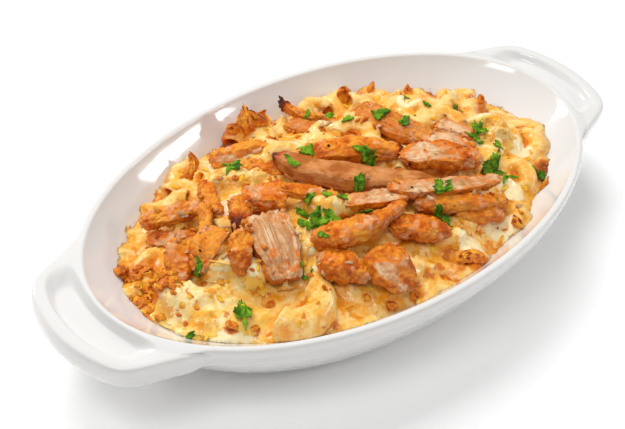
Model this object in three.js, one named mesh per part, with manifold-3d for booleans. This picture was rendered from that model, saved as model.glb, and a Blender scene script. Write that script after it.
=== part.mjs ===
import * as THREE from 'three';
import { mergeVertices } from 'three/addons/utils/BufferGeometryUtils.js';
import Module from 'manifold-3d';

// Baked macaroni and cheese in an oval white gratin dish with two lug handles, topped with
// torn roasted chicken, melted cheese and parsley. Millimetres, +Z up. The origin is on the
// table under the middle of the dish, and +X runs along the dish towards one handle.

// Dish: sizes over all
const dishReach = 142.5;
const rimHalfLength = 124;
const rimHalfWidth = 73;
const mouthHalfLength = 119.6;
const mouthHalfWidth = 69;
const dishHeight = 42.5;
const collarHeight = 8.5;
const footHalfLength = 84;
const floorHeight = 6;
const dishSides = 42;

// Wall of the dish, as half lengths and heights: from the foot up, and inside from the floor up
const collarFoot = dishHeight - collarHeight;
const outsideProfile = [
  [footHalfLength, 0],
  [footHalfLength + 4, 1.4],
  [103, 14],
  [115.6, 27],
  [rimHalfLength - 3.2, collarFoot - 0.6],
  [rimHalfLength - 1.6, collarFoot + 0.3],
  [rimHalfLength, dishHeight - 4],
  [rimHalfLength - 0.5, dishHeight - 1.2],
  [rimHalfLength - 2.2, dishHeight],
];
const insideProfile = [
  [70, floorHeight],
  [83, 9.8],
  [107.6, 30],
  [116.6, 38.2],
  [mouthHalfLength, 41.1],
  [mouthHalfLength + 1.4, dishHeight],
];

// Lug handles: flat plates at the rim, each with a shallow kidney-shaped dent on top
const lugThickness = 10;
const lugBevel = 2.6;
const lugDrop = 0.7;
const dentMiddle = 130.4;
const dentHalfWidth = 6.8;
const dentHalfLength = 28;
const dentDepth = 3.6;
const dentBend = 6.2;
const dentBluntness = 2.6;
const dentSides = { along: 14, around: 10 };

// Food: level at the wall and in the middle of the mound
const gap = 0.35;
const foodEdgeHeight = 29;
const foodMiddleHeight = 42;
const foodEdgeShare = 0.9;
const foodTop = 62;
const moundPower = 2.4;
const reliefHeight = 1.1;
const moundCells = { long: 26, short: 14 };

// Elbow macaroni
const elbowRadius = 4.4;
const elbowBend = 7.4;
const elbowSweep = 2.9;
const elbowSides = 6;
const elbowSteps = 5;
const boreRadius = 2.7;
const boreDepth = 6;
const boreSides = 6;
const boreSteps = 2;
const spreadElbowCount = 20;
const spreadElbowSeed = 11;
const spreadElbowReach = 0.82;

// A noodle stays where this share of it is clear, and this share at most lies in another one
const keepShare = 0.9;
const crowding = 0.2;

// Chicken strips, melted cheese, parsley and cheddar
const stripSides = 8;
const stripRings = 7;
const stripTaper = 0.85;
const stripLump = 0.08;
const meltThickness = 2.1;
const leafThickness = 0.6;
const shredSize = { length: 8, width: 2.2, height: 1.8 };
const shredCount = 8;
const shredSeed = 5;
const shredReach = 0.84;
const shredBend = 0.05;
const shredRise = 0.4;
const flakeThickness = 1;
const flakeSink = 0.4;
const leafStep = 0.25;
const leafStepLimit = 140;

const wasm = await Module();
wasm.setup();

const materials = {
  glaze: new THREE.MeshStandardMaterial({ color: 0xf3f2ee, roughness: 0.18, metalness: 0 }),
  pasta: new THREE.MeshStandardMaterial({ color: 0xe9b84f, roughness: 0.45, metalness: 0 }),
  melt: new THREE.MeshStandardMaterial({ color: 0xf4e3b0, roughness: 0.35, metalness: 0 }),
  chicken: new THREE.MeshStandardMaterial({ color: 0xc9743a, roughness: 0.55, metalness: 0 }),
  parsley: new THREE.MeshStandardMaterial({ color: 0x4c7d16, roughness: 0.5, metalness: 0 }),
};

// Seeded random draw, the same on every run
function seededRandom(seed) {
  let state = seed;
  return () => {
    state = (state + 0x6d2b79f5) | 0;
    let mixed = Math.imul(state ^ (state >>> 15), 1 | state);
    mixed = (mixed + Math.imul(mixed ^ (mixed >>> 7), 61 | mixed)) ^ mixed;
    return ((mixed ^ (mixed >>> 14)) >>> 0) / 4294967296;
  };
}

// A closed geometry as a solid that can be joined and cut
function toSolid(geometry) {
  const bare = geometry.index ? geometry.clone() : geometry;
  bare.deleteAttribute('normal');
  bare.deleteAttribute('uv');
  const merged = mergeVertices(bare, 1e-4);
  const vertProperties = new Float32Array(merged.attributes.position.array);
  const triVerts = new Uint32Array(merged.index.array);
  return new wasm.Manifold(new wasm.Mesh({ numProp: 3, vertProperties, triVerts }));
}

function toGeometry(solid) {
  const mesh = solid.getMesh();
  const geometry = new THREE.BufferGeometry();
  geometry.setAttribute('position', new THREE.BufferAttribute(mesh.vertProperties, 3));
  geometry.setIndex(new THREE.BufferAttribute(mesh.triVerts, 1));
  geometry.computeVertexNormals();
  return geometry;
}

// The largest body of a cut solid: loose scraps go, and hollows that fusing sealed fill up
function largestBody(solid) {
  const bodies = solid.decompose();
  bodies.sort((one, other) => other.volume() - one.volume());
  return bodies[0];
}

function joinAll(solids) {
  return solids.reduce((joined, solid) => joined.add(solid));
}

function moveVertices(geometry, move) {
  const position = geometry.attributes.position;
  const point = new THREE.Vector3();
  for (let i = 0; i < position.count; i += 1) {
    point.fromBufferAttribute(position, i);
    move(point);
    position.setXYZ(i, point.x, point.y, point.z);
  }
  return geometry;
}

// A turned profile of half lengths and heights, squeezed across to an oval
function ovalTurning(profile, widthShare) {
  const points = profile.map(([halfLength, height]) => new THREE.Vector2(halfLength, height));
  const geometry = new THREE.LatheGeometry(points, dishSides);
  geometry.rotateX(Math.PI / 2);
  geometry.scale(1, widthShare, 1);
  return toSolid(geometry);
}

// The hollow of the dish, or the room its food may fill when shrunk by an inset
function dishHollow(inset, topHeight) {
  const wall = insideProfile.map(([reach, height]) => [reach - inset, height + inset]);
  const [lip] = wall.at(-1);
  const profile = [[0, floorHeight + inset], ...wall, [lip, topHeight], [0, topHeight]];
  return ovalTurning(profile, mouthHalfWidth / mouthHalfLength);
}

// One lug handle's plate, drawn as half an outline and its mirror image
function lugPlate() {
  const flank = [[97, 41.7], [108, 37.2], [116, 34.6], [127.5, 30.8]];
  const corner = [[6.4, 24.6], [2.6, 17], [0.6, 9]].map(([inset, y]) => [dishReach - inset, y]);
  const half = [...flank, ...corner];
  const mirrored = half.map(([x, y]) => [x, -y]).reverse();
  const outline = [...half, [dishReach, 0], ...mirrored];
  const shape = new THREE.Shape();
  shape.moveTo(...outline[0]);
  shape.splineThru(outline.slice(1).map(([x, y]) => new THREE.Vector2(x, y)));
  const plate = new THREE.ExtrudeGeometry(shape, {
    depth: lugThickness - 2 * lugBevel,
    bevelThickness: lugBevel,
    bevelSize: lugBevel,
    bevelOffset: -lugBevel,
    bevelSegments: 1,
    curveSegments: 2,
  });
  plate.translate(0, 0, dishHeight - lugDrop - lugThickness + lugBevel);
  return toSolid(plate);
}

// The thumb dent on a lug: a long flat ball bent round the end of the oval
function lugDent() {
  const ball = new THREE.SphereGeometry(1, dentSides.around, dentSides.along);
  moveVertices(ball, (point) => {
    const round = Math.sqrt(Math.max(0, 1 - point.y ** 2));
    const blunt = (1 - Math.abs(point.y) ** dentBluntness) ** (1 / dentBluntness);
    const widen = round > 0 ? blunt / round : 1;
    point.x *= widen;
    point.z *= widen;
  });
  ball.scale(dentHalfWidth, dentHalfLength, dentDepth + lugDrop);
  moveVertices(ball, (point) => {
    point.x -= dentBend * (point.y / dentHalfLength) ** 2;
  });
  ball.translate(dentMiddle, 0, dishHeight);
  return toSolid(ball);
}

function gratinDish() {
  const profile = [[0, 0], ...outsideProfile, [0, dishHeight]];
  const outside = ovalTurning(profile, rimHalfWidth / rimHalfLength);
  const lug = lugPlate().subtract(lugDent());
  const lugs = [lug, lug.rotate([0, 0, 180])];
  return joinAll([outside, ...lugs]).subtract(dishHollow(0, dishHeight + 5));
}

// Height of the bare mound, with soft lumps a bit larger than a noodle
function moundHeight(x, y) {
  const share = Math.hypot(x / mouthHalfLength, y / mouthHalfWidth) / foodEdgeShare;
  const rise = (foodMiddleHeight - foodEdgeHeight) * (1 - Math.min(share, 1.1) ** moundPower);
  const lumps = Math.sin(x / 4.1 + y / 9) * Math.cos(y / 3.7 - x / 11) + 0.5 * Math.sin((x - y) / 5.3);
  return foodEdgeHeight + rise + reliefHeight * lumps;
}

function bareMound(room) {
  const length = 2 * mouthHalfLength;
  const width = 2 * mouthHalfWidth;
  const block = new THREE.BoxGeometry(length, width, 1, moundCells.long, moundCells.short, 1);
  moveVertices(block, (point) => {
    point.z = point.z > 0 ? moundHeight(point.x, point.y) : 0;
  });
  return toSolid(block).intersect(room);
}

// A torn strip of chicken: a blunt rounded section that follows a bent spine
function stripSolid({ path, width, thick }, grow = 0) {
  const spine = new THREE.CatmullRomCurve3(path.map((place) => new THREE.Vector3(...place)));
  const geometry = new THREE.SphereGeometry(1, stripSides, stripRings);
  const upright = new THREE.Vector3(0, 0, 1);
  const phase = path[0][0] + path[0][1];
  moveVertices(geometry, (point) => {
    const along = 1 - Math.acos(THREE.MathUtils.clamp(point.y, -1, 1)) / Math.PI;
    const angle = Math.atan2(point.z, point.x);
    const blunt = (1 - Math.abs(2 * along - 1) ** 3) ** (1 / 3);
    const wave = Math.sin(3 * angle + 9 * along + phase) * Math.cos(5 * along - phase);
    const squareness = (Math.cos(angle) ** 4 + Math.sin(angle) ** 4) ** -0.25;
    const size = (1 + stripLump * wave) * THREE.MathUtils.lerp(1, stripTaper, along);
    const reach = blunt * squareness;
    const across = Math.cos(angle) * reach * ((size * width) / 2 + grow);
    const above = Math.sin(angle) * reach * ((size * thick) / 2 + grow);
    const tangent = spine.getTangent(along);
    const side = new THREE.Vector3().crossVectors(tangent, upright).normalize();
    const top = new THREE.Vector3().crossVectors(side, tangent);
    point.copy(spine.getPoint(along)).addScaledVector(tangent, grow * (2 * along - 1));
    point.addScaledVector(side, across).addScaledVector(top, above);
  });
  return toSolid(geometry);
}

// Chicken pieces from the lowest to the highest, each with the places its spine passes
const chickenPieces = [
  { name: 'chicken_far_shred', path: [[21, 37, 40], [23, 27, 42], [25, 18, 43]], width: 8, thick: 5 },
  { name: 'chicken_far_slice', path: [[9, 46, 38], [11, 37, 41], [12, 29, 43]], width: 10, thick: 6 },
  { name: 'chicken_side_chunk', path: [[-27, 36, 39], [-21, 28, 41], [-19, 19, 42]], width: 8, thick: 6 },
  { name: 'chicken_left_bend', path: [[-45, 36, 39], [-52, 25, 42], [-55, 15, 43]], width: 8, thick: 7 },
  { name: 'chicken_left_under', path: [[-80, 27, 35], [-75, 19, 37], [-68, 12, 40]], width: 9, thick: 6 },
  { name: 'chicken_right_chunk', path: [[24, -38, 40], [34, -43, 38], [44, -47, 36]], width: 11, thick: 7 },
  { name: 'chicken_near_slab', path: [[-6, -31, 44], [3, -38, 43], [14, -44, 40]], width: 12, thick: 8 },
  { name: 'chicken_left_square', path: [[-75, 13, 41], [-82, 6, 39], [-87, -1, 37]], width: 12, thick: 7 },
  { name: 'chicken_far_pale', path: [[58, 5, 42], [62, -3, 43], [65, -11, 42]], width: 8, thick: 7 },
  {
    name: 'chicken_near_round', path: [[-43, -30, 43], [-36, -36, 43], [-29, -43, 39]], width: 14, thick: 10,
  },
  {
    name: 'chicken_near_curl', path: [[-22, -38, 42], [-21, -46, 42], [-20, -54, 37]], width: 18, thick: 11,
  },
  { name: 'chicken_upper_strip', path: [[-32, 48, 37], [-21, 40, 41], [-6, 37, 42]], width: 10, thick: 8 },
  { name: 'chicken_far_curl', path: [[15, 57, 41], [16, 48, 40], [20, 39, 42]], width: 5, thick: 5 },
  { name: 'chicken_left_strip', path: [[-79, 33, 38], [-70, 26, 42], [-59, 21, 44]], width: 8, thick: 7 },
  { name: 'chicken_far_fold', path: [[41, 0, 46], [49, -8, 46], [57, -19, 43]], width: 7, thick: 7 },
  { name: 'chicken_right_under', path: [[11, -28, 45], [26, -37, 43], [49, -44, 38]], width: 8, thick: 6 },
  { name: 'chicken_far_wedge', path: [[38, 32, 43], [39, 13, 46], [44, -4, 46]], width: 11, thick: 11 },
  { name: 'chicken_left_crumb', path: [[-44, 14, 46], [-37, 8, 47], [-32, 3, 46]], width: 14, thick: 9 },
  { name: 'chicken_left_fold', path: [[-63, 4, 45], [-71, 1, 44], [-80, -3, 40]], width: 14, thick: 8 },
  { name: 'chicken_mid_strip', path: [[-10, 19, 47], [9, 9, 49], [28, -3, 47]], width: 10, thick: 8 },
  { name: 'chicken_mid_left', path: [[-34, 15, 46], [-25, 2, 48], [-15, -11, 48]], width: 8, thick: 6 },
  { name: 'chicken_mid_pale', path: [[-17, -13, 49], [-4, -19, 49], [11, -24, 47]], width: 7, thick: 6 },
  { name: 'chicken_dark_end', path: [[-48, 13, 48], [-52, 6, 48], [-58, 0, 45]], width: 9, thick: 7 },
  { name: 'chicken_left_narrow', path: [[-58, 20, 45], [-64, 13, 46], [-71, 6, 44]], width: 6, thick: 6 },
  { name: 'chicken_right_strip', path: [[5, -18, 49], [23, -29, 48], [53, -36, 42]], width: 7, thick: 6 },
  { name: 'chicken_wedge_edge', path: [[-60, -3, 49], [-65, -10, 47], [-70, -15, 42]], width: 10, thick: 8 },
  { name: 'chicken_long', path: [[-17, 26, 47], [-6, -1, 49], [26, -22, 46]], width: 12, thick: 9 },
  { name: 'chicken_far_lobe', path: [[22, -8, 50], [37, -16, 49], [52, -25, 45]], width: 11, thick: 10 },
  { name: 'chicken_near_wedge', path: [[-38, -20, 47], [-24, -29, 49], [4, -28, 49]], width: 12, thick: 10 },
  { name: 'chicken_big_wedge', path: [[-48, -2, 49], [-52, -13, 48], [-57, -27, 41]], width: 19, thick: 11 },
];

// An elbow of macaroni: a round tube bent through about half a turn, with a short open bore
class ElbowCurve extends THREE.Curve {
  constructor(from, sweep) {
    super();
    this.from = from;
    this.sweep = sweep;
  }

  getPoint(share, target = new THREE.Vector3()) {
    const turn = this.from + this.sweep * share;
    return target.set(elbowBend * Math.cos(turn), elbowBend * Math.sin(turn), 0);
  }
}

function bentRod(radius, from, sweep, sides, steps) {
  const section = new THREE.Shape(
    Array.from({ length: sides }, (unused, i) => {
      const angle = ((i + 0.5) / sides) * 2 * Math.PI;
      return new THREE.Vector2(radius * Math.cos(angle), radius * Math.sin(angle));
    }),
  );
  const extrudePath = new ElbowCurve(from, sweep);
  return toSolid(new THREE.ExtrudeGeometry(section, { steps, extrudePath, curveSegments: 1 }));
}

function elbowSolid({ x, y, heading, tilt = 0, open = false, size = 1, lift = 1 }) {
  let rod = bentRod(elbowRadius, 0, elbowSweep, elbowSides, elbowSteps);
  if (open) {
    const over = 0.1;
    const sweep = boreDepth / elbowBend + over;
    rod = rod.subtract(bentRod(boreRadius, -over, sweep, boreSides, boreSteps));
  }
  const height = moundHeight(x, y) + lift;
  return rod.scale(size).rotate([tilt, 0, 0]).rotate([0, 0, heading]).translate([x, y, height]);
}

// Elbows that show plainly, then a spread of others over the rest of the mound
const plainElbows = [
  { x: -59, y: -39, heading: 200, tilt: 12, open: true, size: 1.15, lift: 2 },
  { x: 73, y: 20, heading: 20, tilt: -35 },
  { x: 84, y: 16, heading: 70, tilt: 30 },
  { x: 93, y: -4, heading: 120, tilt: 20, open: true },
  { x: 89, y: -19, heading: 60, tilt: -15 },
  { x: 80, y: -31, heading: 10, tilt: 20 },
  { x: -85, y: 24, heading: 150, tilt: 15 },
  { x: -42, y: 46, heading: 220, tilt: -10, open: true },
  { x: -22, y: -35, heading: 330, tilt: 10, size: 0.9 },
  { x: 21, y: -50, heading: 250, tilt: 20 },
  { x: -4, y: -54, heading: 160, tilt: -12 },
  { x: -40, y: -50, heading: 300, tilt: 15 },
  { x: 40, y: -52, heading: 90, tilt: -20 },
  { x: 58, y: -45, heading: 200, tilt: 15 },
  { x: 6, y: 52, heading: 30, tilt: 10 },
  { x: 56, y: 40, heading: 170, tilt: 12 },
  { x: -60, y: 45, heading: 100, tilt: 10, open: true },
  { x: -74, y: 41, heading: 240, tilt: -15 },
  { x: -94, y: 8, heading: 40, tilt: 12 },
  { x: 70, y: 36, heading: 300, tilt: -18 },
];

function spreadElbows() {
  const random = seededRandom(spreadElbowSeed);
  const goldenAngle = Math.PI * (3 - Math.sqrt(5));
  return Array.from({ length: spreadElbowCount }, (unused, i) => {
    const reach = spreadElbowReach * Math.sqrt((i + 0.5) / spreadElbowCount);
    const angle = i * goldenAngle;
    return {
      x: mouthHalfLength * reach * Math.cos(angle),
      y: mouthHalfWidth * reach * Math.sin(angle),
      heading: 360 * random(),
      tilt: 50 * random() - 25,
      size: 0.85 + 0.2 * random(),
    };
  });
}

// Browned crags of crust that stand up round the edge
const crags = [
  { x: 0, y: 60, size: 7, tall: 9 },
  { x: -14, y: 59, size: 6, tall: 7 },
  { x: 53, y: 50, size: 6, tall: 10 },
  { x: 76, y: 41, size: 5, tall: 6 },
  { x: 88, y: 33, size: 5, tall: 6 },
  { x: 94, y: 11, size: 5, tall: 5 },
  { x: -97, y: 22, size: 7, tall: 6 },
  { x: 85, y: -37, size: 6, tall: 9 },
  { x: 45, y: -55, size: 6, tall: 5 },
  { x: 14, y: -57, size: 9, tall: 4 },
  { x: -17, y: -57, size: 5, tall: 4 },
];

function cragSolid({ x, y, size, tall }) {
  const lump = new THREE.IcosahedronGeometry(1, size > 6 ? 1 : 0);
  moveVertices(lump, (point) => {
    const jag = 1 + 0.22 * Math.sin(7 * point.x + 5 * point.y + x) * Math.cos(6 * point.z + y);
    point.multiplyScalar(jag);
  });
  lump.scale(size / 2, size / 2.4, tall / 2);
  lump.rotateZ(x);
  lump.translate(x, y, moundHeight(x, y) + tall / 4);
  return toSolid(lump);
}

// Cheddar shreds: short bent bars half sunk in the sauce
function shredSolids() {
  const random = seededRandom(shredSeed);
  return Array.from({ length: shredCount }, () => {
    const reach = shredReach * Math.sqrt(random());
    const angle = 2 * Math.PI * random();
    const x = mouthHalfLength * reach * Math.cos(angle);
    const y = mouthHalfWidth * reach * Math.sin(angle);
    const bar = new THREE.BoxGeometry(shredSize.length, shredSize.width, shredSize.height, 2, 1, 1);
    moveVertices(bar, (point) => {
      point.y += shredBend * point.x ** 2;
    });
    bar.rotateZ(2 * Math.PI * random());
    bar.translate(x, y, moundHeight(x, y) + shredRise);
    return toSolid(bar);
  });
}

// Pools of melted cheese: a wavy outline cut from the mound's own surface
const meltPools = [
  { name: 'melted_cheese_far', x: 8, y: 31, halfLength: 22, halfWidth: 9, turn: -50 },
  { name: 'melted_cheese_left', x: -37, y: 29, halfLength: 17, halfWidth: 9, turn: -40 },
  { name: 'melted_cheese_middle', x: -33, y: -13, halfLength: 22, halfWidth: 10, turn: 55 },
  { name: 'melted_cheese_near', x: -82, y: -17, halfLength: 26, halfWidth: 17, turn: -30 },
  { name: 'melted_cheese_right', x: 74, y: -11, halfLength: 15, halfWidth: 9, turn: -30 },
];

function meltColumn({ x, y, halfLength, halfWidth, turn }, grow) {
  const points = 14;
  const outline = Array.from({ length: points }, (unused, i) => {
    const angle = (i / points) * 2 * Math.PI;
    const wave = 1 + 0.12 * Math.sin(3 * angle + x) + 0.09 * Math.cos(5 * angle + y);
    const along = (halfLength * wave + grow) * Math.cos(angle);
    const across = (halfWidth * wave + grow) * Math.sin(angle);
    return new THREE.Vector2(along, across);
  });
  const column = new THREE.ExtrudeGeometry(new THREE.Shape(outline), {
    depth: 2 * dishHeight,
    bevelEnabled: false,
  });
  column.rotateZ(THREE.MathUtils.degToRad(turn));
  column.translate(x, y, 0);
  return toSolid(column);
}

// Small parsley flakes, each half sunk in the piece that it lies on
const flakes = [
  { on: 'chicken_far_wedge', x: 38, y: 21, size: 6, turn: 30 },
  { on: 'chicken_far_wedge', x: 41, y: 9, size: 6, turn: 100 },
  { on: 'chicken_far_pale', x: 64, y: -8, size: 6, turn: 160 },
  { on: 'chicken_long', x: -3, y: -8, size: 6, turn: 60 },
  { on: 'chicken_near_wedge', x: -16, y: -25, size: 7, turn: 10 },
  { on: 'melted_cheese_middle', x: -28, y: -6, size: 6, turn: 80 },
  { on: 'melted_cheese_middle', x: -33, y: -11, size: 6, turn: 140 },
  { on: 'macaroni_heap', x: 63, y: 17, size: 5, turn: 20 },
  { on: 'macaroni_heap', x: 62, y: -34, size: 6, turn: 120 },
  { on: 'macaroni_heap', x: -64, y: -49, size: 7, turn: 40 },
];

function flakeSolid({ x, y, size, turn }) {
  const corners = [[-0.5, 0], [-0.1, -0.3], [0.45, -0.15], [0.4, 0.2], [-0.15, 0.3]];
  const outline = corners.map(([along, across]) => new THREE.Vector2(along * size, across * size));
  const flake = new THREE.ExtrudeGeometry(new THREE.Shape(outline), {
    depth: flakeThickness,
    bevelEnabled: false,
  });
  flake.rotateZ(THREE.MathUtils.degToRad(turn));
  flake.translate(x, y, 0);
  return toSolid(flake);
}

// A parsley leaf: three blunt lobes and a short stalk, thin and waved
function leafSolid({ x, y, size, turn }) {
  const tips = [[-0.12, -1], [0.12, -1], [0.16, -0.25], [0.7, -0.45], [0.95, 0.1], [0.55, 0.35],
    [0.5, 0.8], [0.05, 1], [-0.3, 0.65], [-0.45, 0.4], [-0.95, 0.2], [-0.6, -0.35], [-0.15, -0.25]];
  const outline = tips.map(([across, along]) => {
    return new THREE.Vector2((across * size) / 2, (along * size) / 2);
  });
  const leaf = new THREE.ExtrudeGeometry(new THREE.Shape(outline), {
    depth: leafThickness,
    bevelEnabled: false,
  });
  moveVertices(leaf, (point) => {
    point.z += (0.9 * Math.sin((5 * point.x) / size) * Math.cos((4 * point.y) / size) * size) / 12;
  });
  leaf.rotateZ(THREE.MathUtils.degToRad(turn));
  leaf.translate(x, y, 0);
  return toSolid(leaf);
}

const leaves = [
  { name: 'parsley_near', x: -78, y: -27, size: 13, turn: 20 },
  { name: 'parsley_left', x: -34, y: 33, size: 11, turn: -60 },
  { name: 'parsley_far', x: 71, y: -8, size: 10, turn: 120 },
  { name: 'parsley_right', x: 60, y: -28, size: 11, turn: 60 },
  { name: 'parsley_top', x: 11, y: -2, size: 10, turn: -30 },
  { name: 'parsley_long', x: 23, y: -31, size: 11, turn: 100 },
  { name: 'parsley_front', x: 15, y: -40, size: 9, turn: 10 },
  { name: 'parsley_middle', x: -29, y: -15, size: 12, turn: 150 },
  { name: 'parsley_edge', x: 79, y: -39, size: 9, turn: 45 },
  { name: 'parsley_melt', x: -8, y: 17, size: 8, turn: 200 },
];

// Lowers a thin piece from above until it is about to touch what it lies on
function layOn(piece, support, topHeight, rest) {
  for (let step = 1; step < leafStepLimit; step += 1) {
    const height = topHeight - step * leafStep;
    if (!piece.translate([0, 0, height]).intersect(support).isEmpty()) {
      return piece.translate([0, 0, height + leafStep + rest]);
    }
  }
  throw new Error('a leaf finds nothing to lie on');
}

function addPiece(group, name, solid, material) {
  const mesh = new THREE.Mesh(toGeometry(solid), material.clone());
  mesh.name = name;
  group.add(mesh);
}

const dish = new THREE.Group();
addPiece(dish, 'gratin_dish', gratinDish(), materials.glaze);

const room = dishHollow(gap, 2 * dishHeight);
const core = bareMound(room);

// Each chicken piece gives way to those that lie above it, and the mound gives way to all
const grownChicken = chickenPieces.map((piece) => stripSolid(piece, gap));
const chicken = chickenPieces.map((piece, i) => {
  const above = grownChicken.slice(i + 1);
  const whole = stripSolid(piece).intersect(room);
  const cut = above.length ? whole.subtract(joinAll(above)) : whole;
  return largestBody(cut);
});
const chickenRoom = joinAll(grownChicken);

const lowSkin = core.translate([0, 0, gap]);
const highSkin = core.translate([0, 0, gap + meltThickness]).intersect(room);
const meltRoom = core.translate([0, 0, 2 * gap + meltThickness]);
const melts = meltPools.map((pool) => {
  const skin = highSkin.intersect(meltColumn(pool, 0)).subtract(lowSkin);
  return largestBody(skin.subtract(chickenRoom));
});
const meltRooms = joinAll(meltPools.map((pool) => meltRoom.intersect(meltColumn(pool, gap))));

// Noodles that would mostly lie under chicken or melted cheese, or cross the dish, are left out
const taken = joinAll([chickenRoom, meltRooms]);
const noodles = [];
for (const elbow of [...plainElbows, ...spreadElbows()]) {
  const whole = elbowSolid(elbow);
  const clear = whole.intersect(room).subtract(taken);
  const crowded = noodles.some((noodle) => clear.intersect(noodle).volume() > crowding * whole.volume());
  if (clear.volume() > keepShare * whole.volume() && !crowded) {
    noodles.push(clear);
  }
}
const bits = [...crags.map(cragSolid), ...shredSolids()].map((bit) => bit.intersect(room));
const topped = joinAll([...noodles, ...bits]).subtract(meltRooms);
const heap = largestBody(core.add(topped).subtract(chickenRoom));

const foodPieces = [
  { name: 'macaroni_heap', solid: heap, material: materials.pasta },
  ...melts.map((solid, i) => ({ name: meltPools[i].name, solid, material: materials.melt })),
  ...chicken.map((solid, i) => ({ name: chickenPieces[i].name, solid, material: materials.chicken })),
];
for (const flake of flakes) {
  const host = foodPieces.find((piece) => piece.name === flake.on);
  host.solid = host.solid.add(layOn(flakeSolid(flake), host.solid, foodTop, -leafStep - flakeSink));
}
foodPieces.forEach(({ name, solid, material }) => addPiece(dish, name, solid, material));

const food = joinAll(foodPieces.map((piece) => piece.solid));
for (const leaf of leaves) {
  addPiece(dish, leaf.name, layOn(leafSolid(leaf), food, foodTop, gap), materials.parsley);
}

export default dish;
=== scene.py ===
import math
import random

import bpy
import numpy as np
from mathutils import Matrix, Vector, noise
from mathutils.bvhtree import BVHTree


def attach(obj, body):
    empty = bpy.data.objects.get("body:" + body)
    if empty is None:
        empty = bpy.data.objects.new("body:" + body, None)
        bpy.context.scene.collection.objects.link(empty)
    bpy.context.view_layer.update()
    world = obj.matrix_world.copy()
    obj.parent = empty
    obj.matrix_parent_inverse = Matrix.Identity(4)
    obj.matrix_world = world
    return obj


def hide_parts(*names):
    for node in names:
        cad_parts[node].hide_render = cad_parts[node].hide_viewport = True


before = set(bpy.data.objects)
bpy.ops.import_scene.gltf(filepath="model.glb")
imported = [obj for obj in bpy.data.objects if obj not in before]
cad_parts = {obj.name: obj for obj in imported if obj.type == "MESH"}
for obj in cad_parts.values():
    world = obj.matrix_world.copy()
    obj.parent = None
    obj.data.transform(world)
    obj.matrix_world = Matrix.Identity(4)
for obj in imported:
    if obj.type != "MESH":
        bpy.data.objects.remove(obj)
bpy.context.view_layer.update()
mm = 0.001
noise.seed_set(12)  # noise_vector is different in each run without it


# Small helpers for working by hand with operators

def deselectAll():
    if bpy.context.mode != "OBJECT":
        bpy.ops.object.mode_set(mode="OBJECT")
    bpy.ops.object.select_all(action="DESELECT")


def pick(piece):
    deselectAll()
    piece.select_set(True)
    bpy.context.view_layer.objects.active = piece
    return piece


def settle(piece):
    pick(piece)
    bpy.ops.object.transform_apply(location=True, rotation=True, scale=True)
    return piece


def modify(piece, kind, **values):
    modifier = piece.modifiers.new(kind.lower(), kind)
    for name, value in values.items():
        setattr(modifier, name, value)
    pick(piece)
    bpy.ops.object.modifier_apply(modifier=modifier.name)
    return piece


def joinPieces(pieces, name):
    deselectAll()
    for piece in pieces:
        piece.select_set(True)
    bpy.context.view_layer.objects.active = pieces[0]
    bpy.ops.object.join()
    joined = bpy.context.view_layer.objects.active
    joined.name = name
    joined.data.name = name
    return joined


def fixNormals(piece):
    pick(piece)
    bpy.ops.object.mode_set(mode="EDIT")
    bpy.ops.mesh.select_all(action="SELECT")
    bpy.ops.mesh.normals_make_consistent(inside=False)
    bpy.ops.object.mode_set(mode="OBJECT")
    return piece


def getPoints(piece):
    points = np.empty(len(piece.data.vertices) * 3)
    piece.data.vertices.foreach_get("co", points)
    return points.reshape(-1, 3)


def setPoints(piece, points):
    piece.data.vertices.foreach_set("co", np.ascontiguousarray(points, dtype=np.float64).ravel())
    piece.data.update()


def getNormals(piece):
    normals = np.empty(len(piece.data.vertices) * 3)
    piece.data.vertex_normals.foreach_get("vector", normals)
    return normals.reshape(-1, 3)


def setMask(piece, name, values):
    layer = piece.data.attributes.new(name, "FLOAT", "POINT")
    layer.data.foreach_set("value", np.clip(values, 0, 1).astype(np.float32))


def smoothStep(low, high, values):
    share = np.clip((np.asarray(values) - low) / (high - low), 0, 1)
    return share * share * (3 - 2 * share)


def noiseAt(points, size, seed=0.0, octaves=3):
    shift = Vector((seed * 1.37, seed * 2.11, seed * 0.73))
    values = [noise.fractal(Vector(p) / size + shift, 0.6, 2.0, octaves) for p in points]
    return np.array(values)


def noisePush(points):
    # A small push in three directions for each place
    return np.array([noise.noise_vector(Vector(p)) for p in points])


def discFromSquare(points):
    # Lays a square grid from -1 to 1 out as a round disc
    u, v = points[:, 0].copy(), points[:, 1].copy()
    return u * np.sqrt(1 - v ** 2 / 2), v * np.sqrt(1 - u ** 2 / 2)


def laidOut(x, y, along, across, bearing):
    # Turns a flat outline and sets it at its place, from millimetres to metres
    c, s = math.cos(bearing), math.sin(bearing)
    return (x + along * c - across * s) * mm, (y + along * s + across * c) * mm


def lengthsAlong(places):
    return np.concatenate([[0], np.cumsum(np.hypot(*np.diff(places, axis=0).T))])


def joinWords(name):
    # chicken_far_wedge becomes chickenFarWedge
    first, *others = name.split("_")
    return first + "".join(word.capitalize() for word in others)


def finishPiece(piece, material, slot, *nodes):
    piece.data.materials.clear()
    piece.data.materials.append(material)
    pick(piece)
    bpy.ops.object.shade_smooth()
    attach(piece, "root")
    if nodes:
        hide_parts(*nodes)
    return piece


# Colours are picked as the eye sees them, from 0 to 255

def tint(red, green, blue):
    linear = [((c / 255 + 0.055) / 1.055) ** 2.4 if c > 10 else c / 255 / 12.92 for c in (red, green, blue)]
    return (*linear, 1.0)


# Camera, at the place from which the photograph was taken

cameraPlan = {
    "azimuth": -48.504,
    "elevation": 39.358,
    "roll": -7.995,
    "pan": 1.179,
    "tilt": -1.495,
    "distance": 588.5 * mm,
    "aimHeight": 42.5 * mm,
    "focalPixels": 1447.56,
    "imageWidth": 625,
    "sensorWidth": 36,
}


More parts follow.
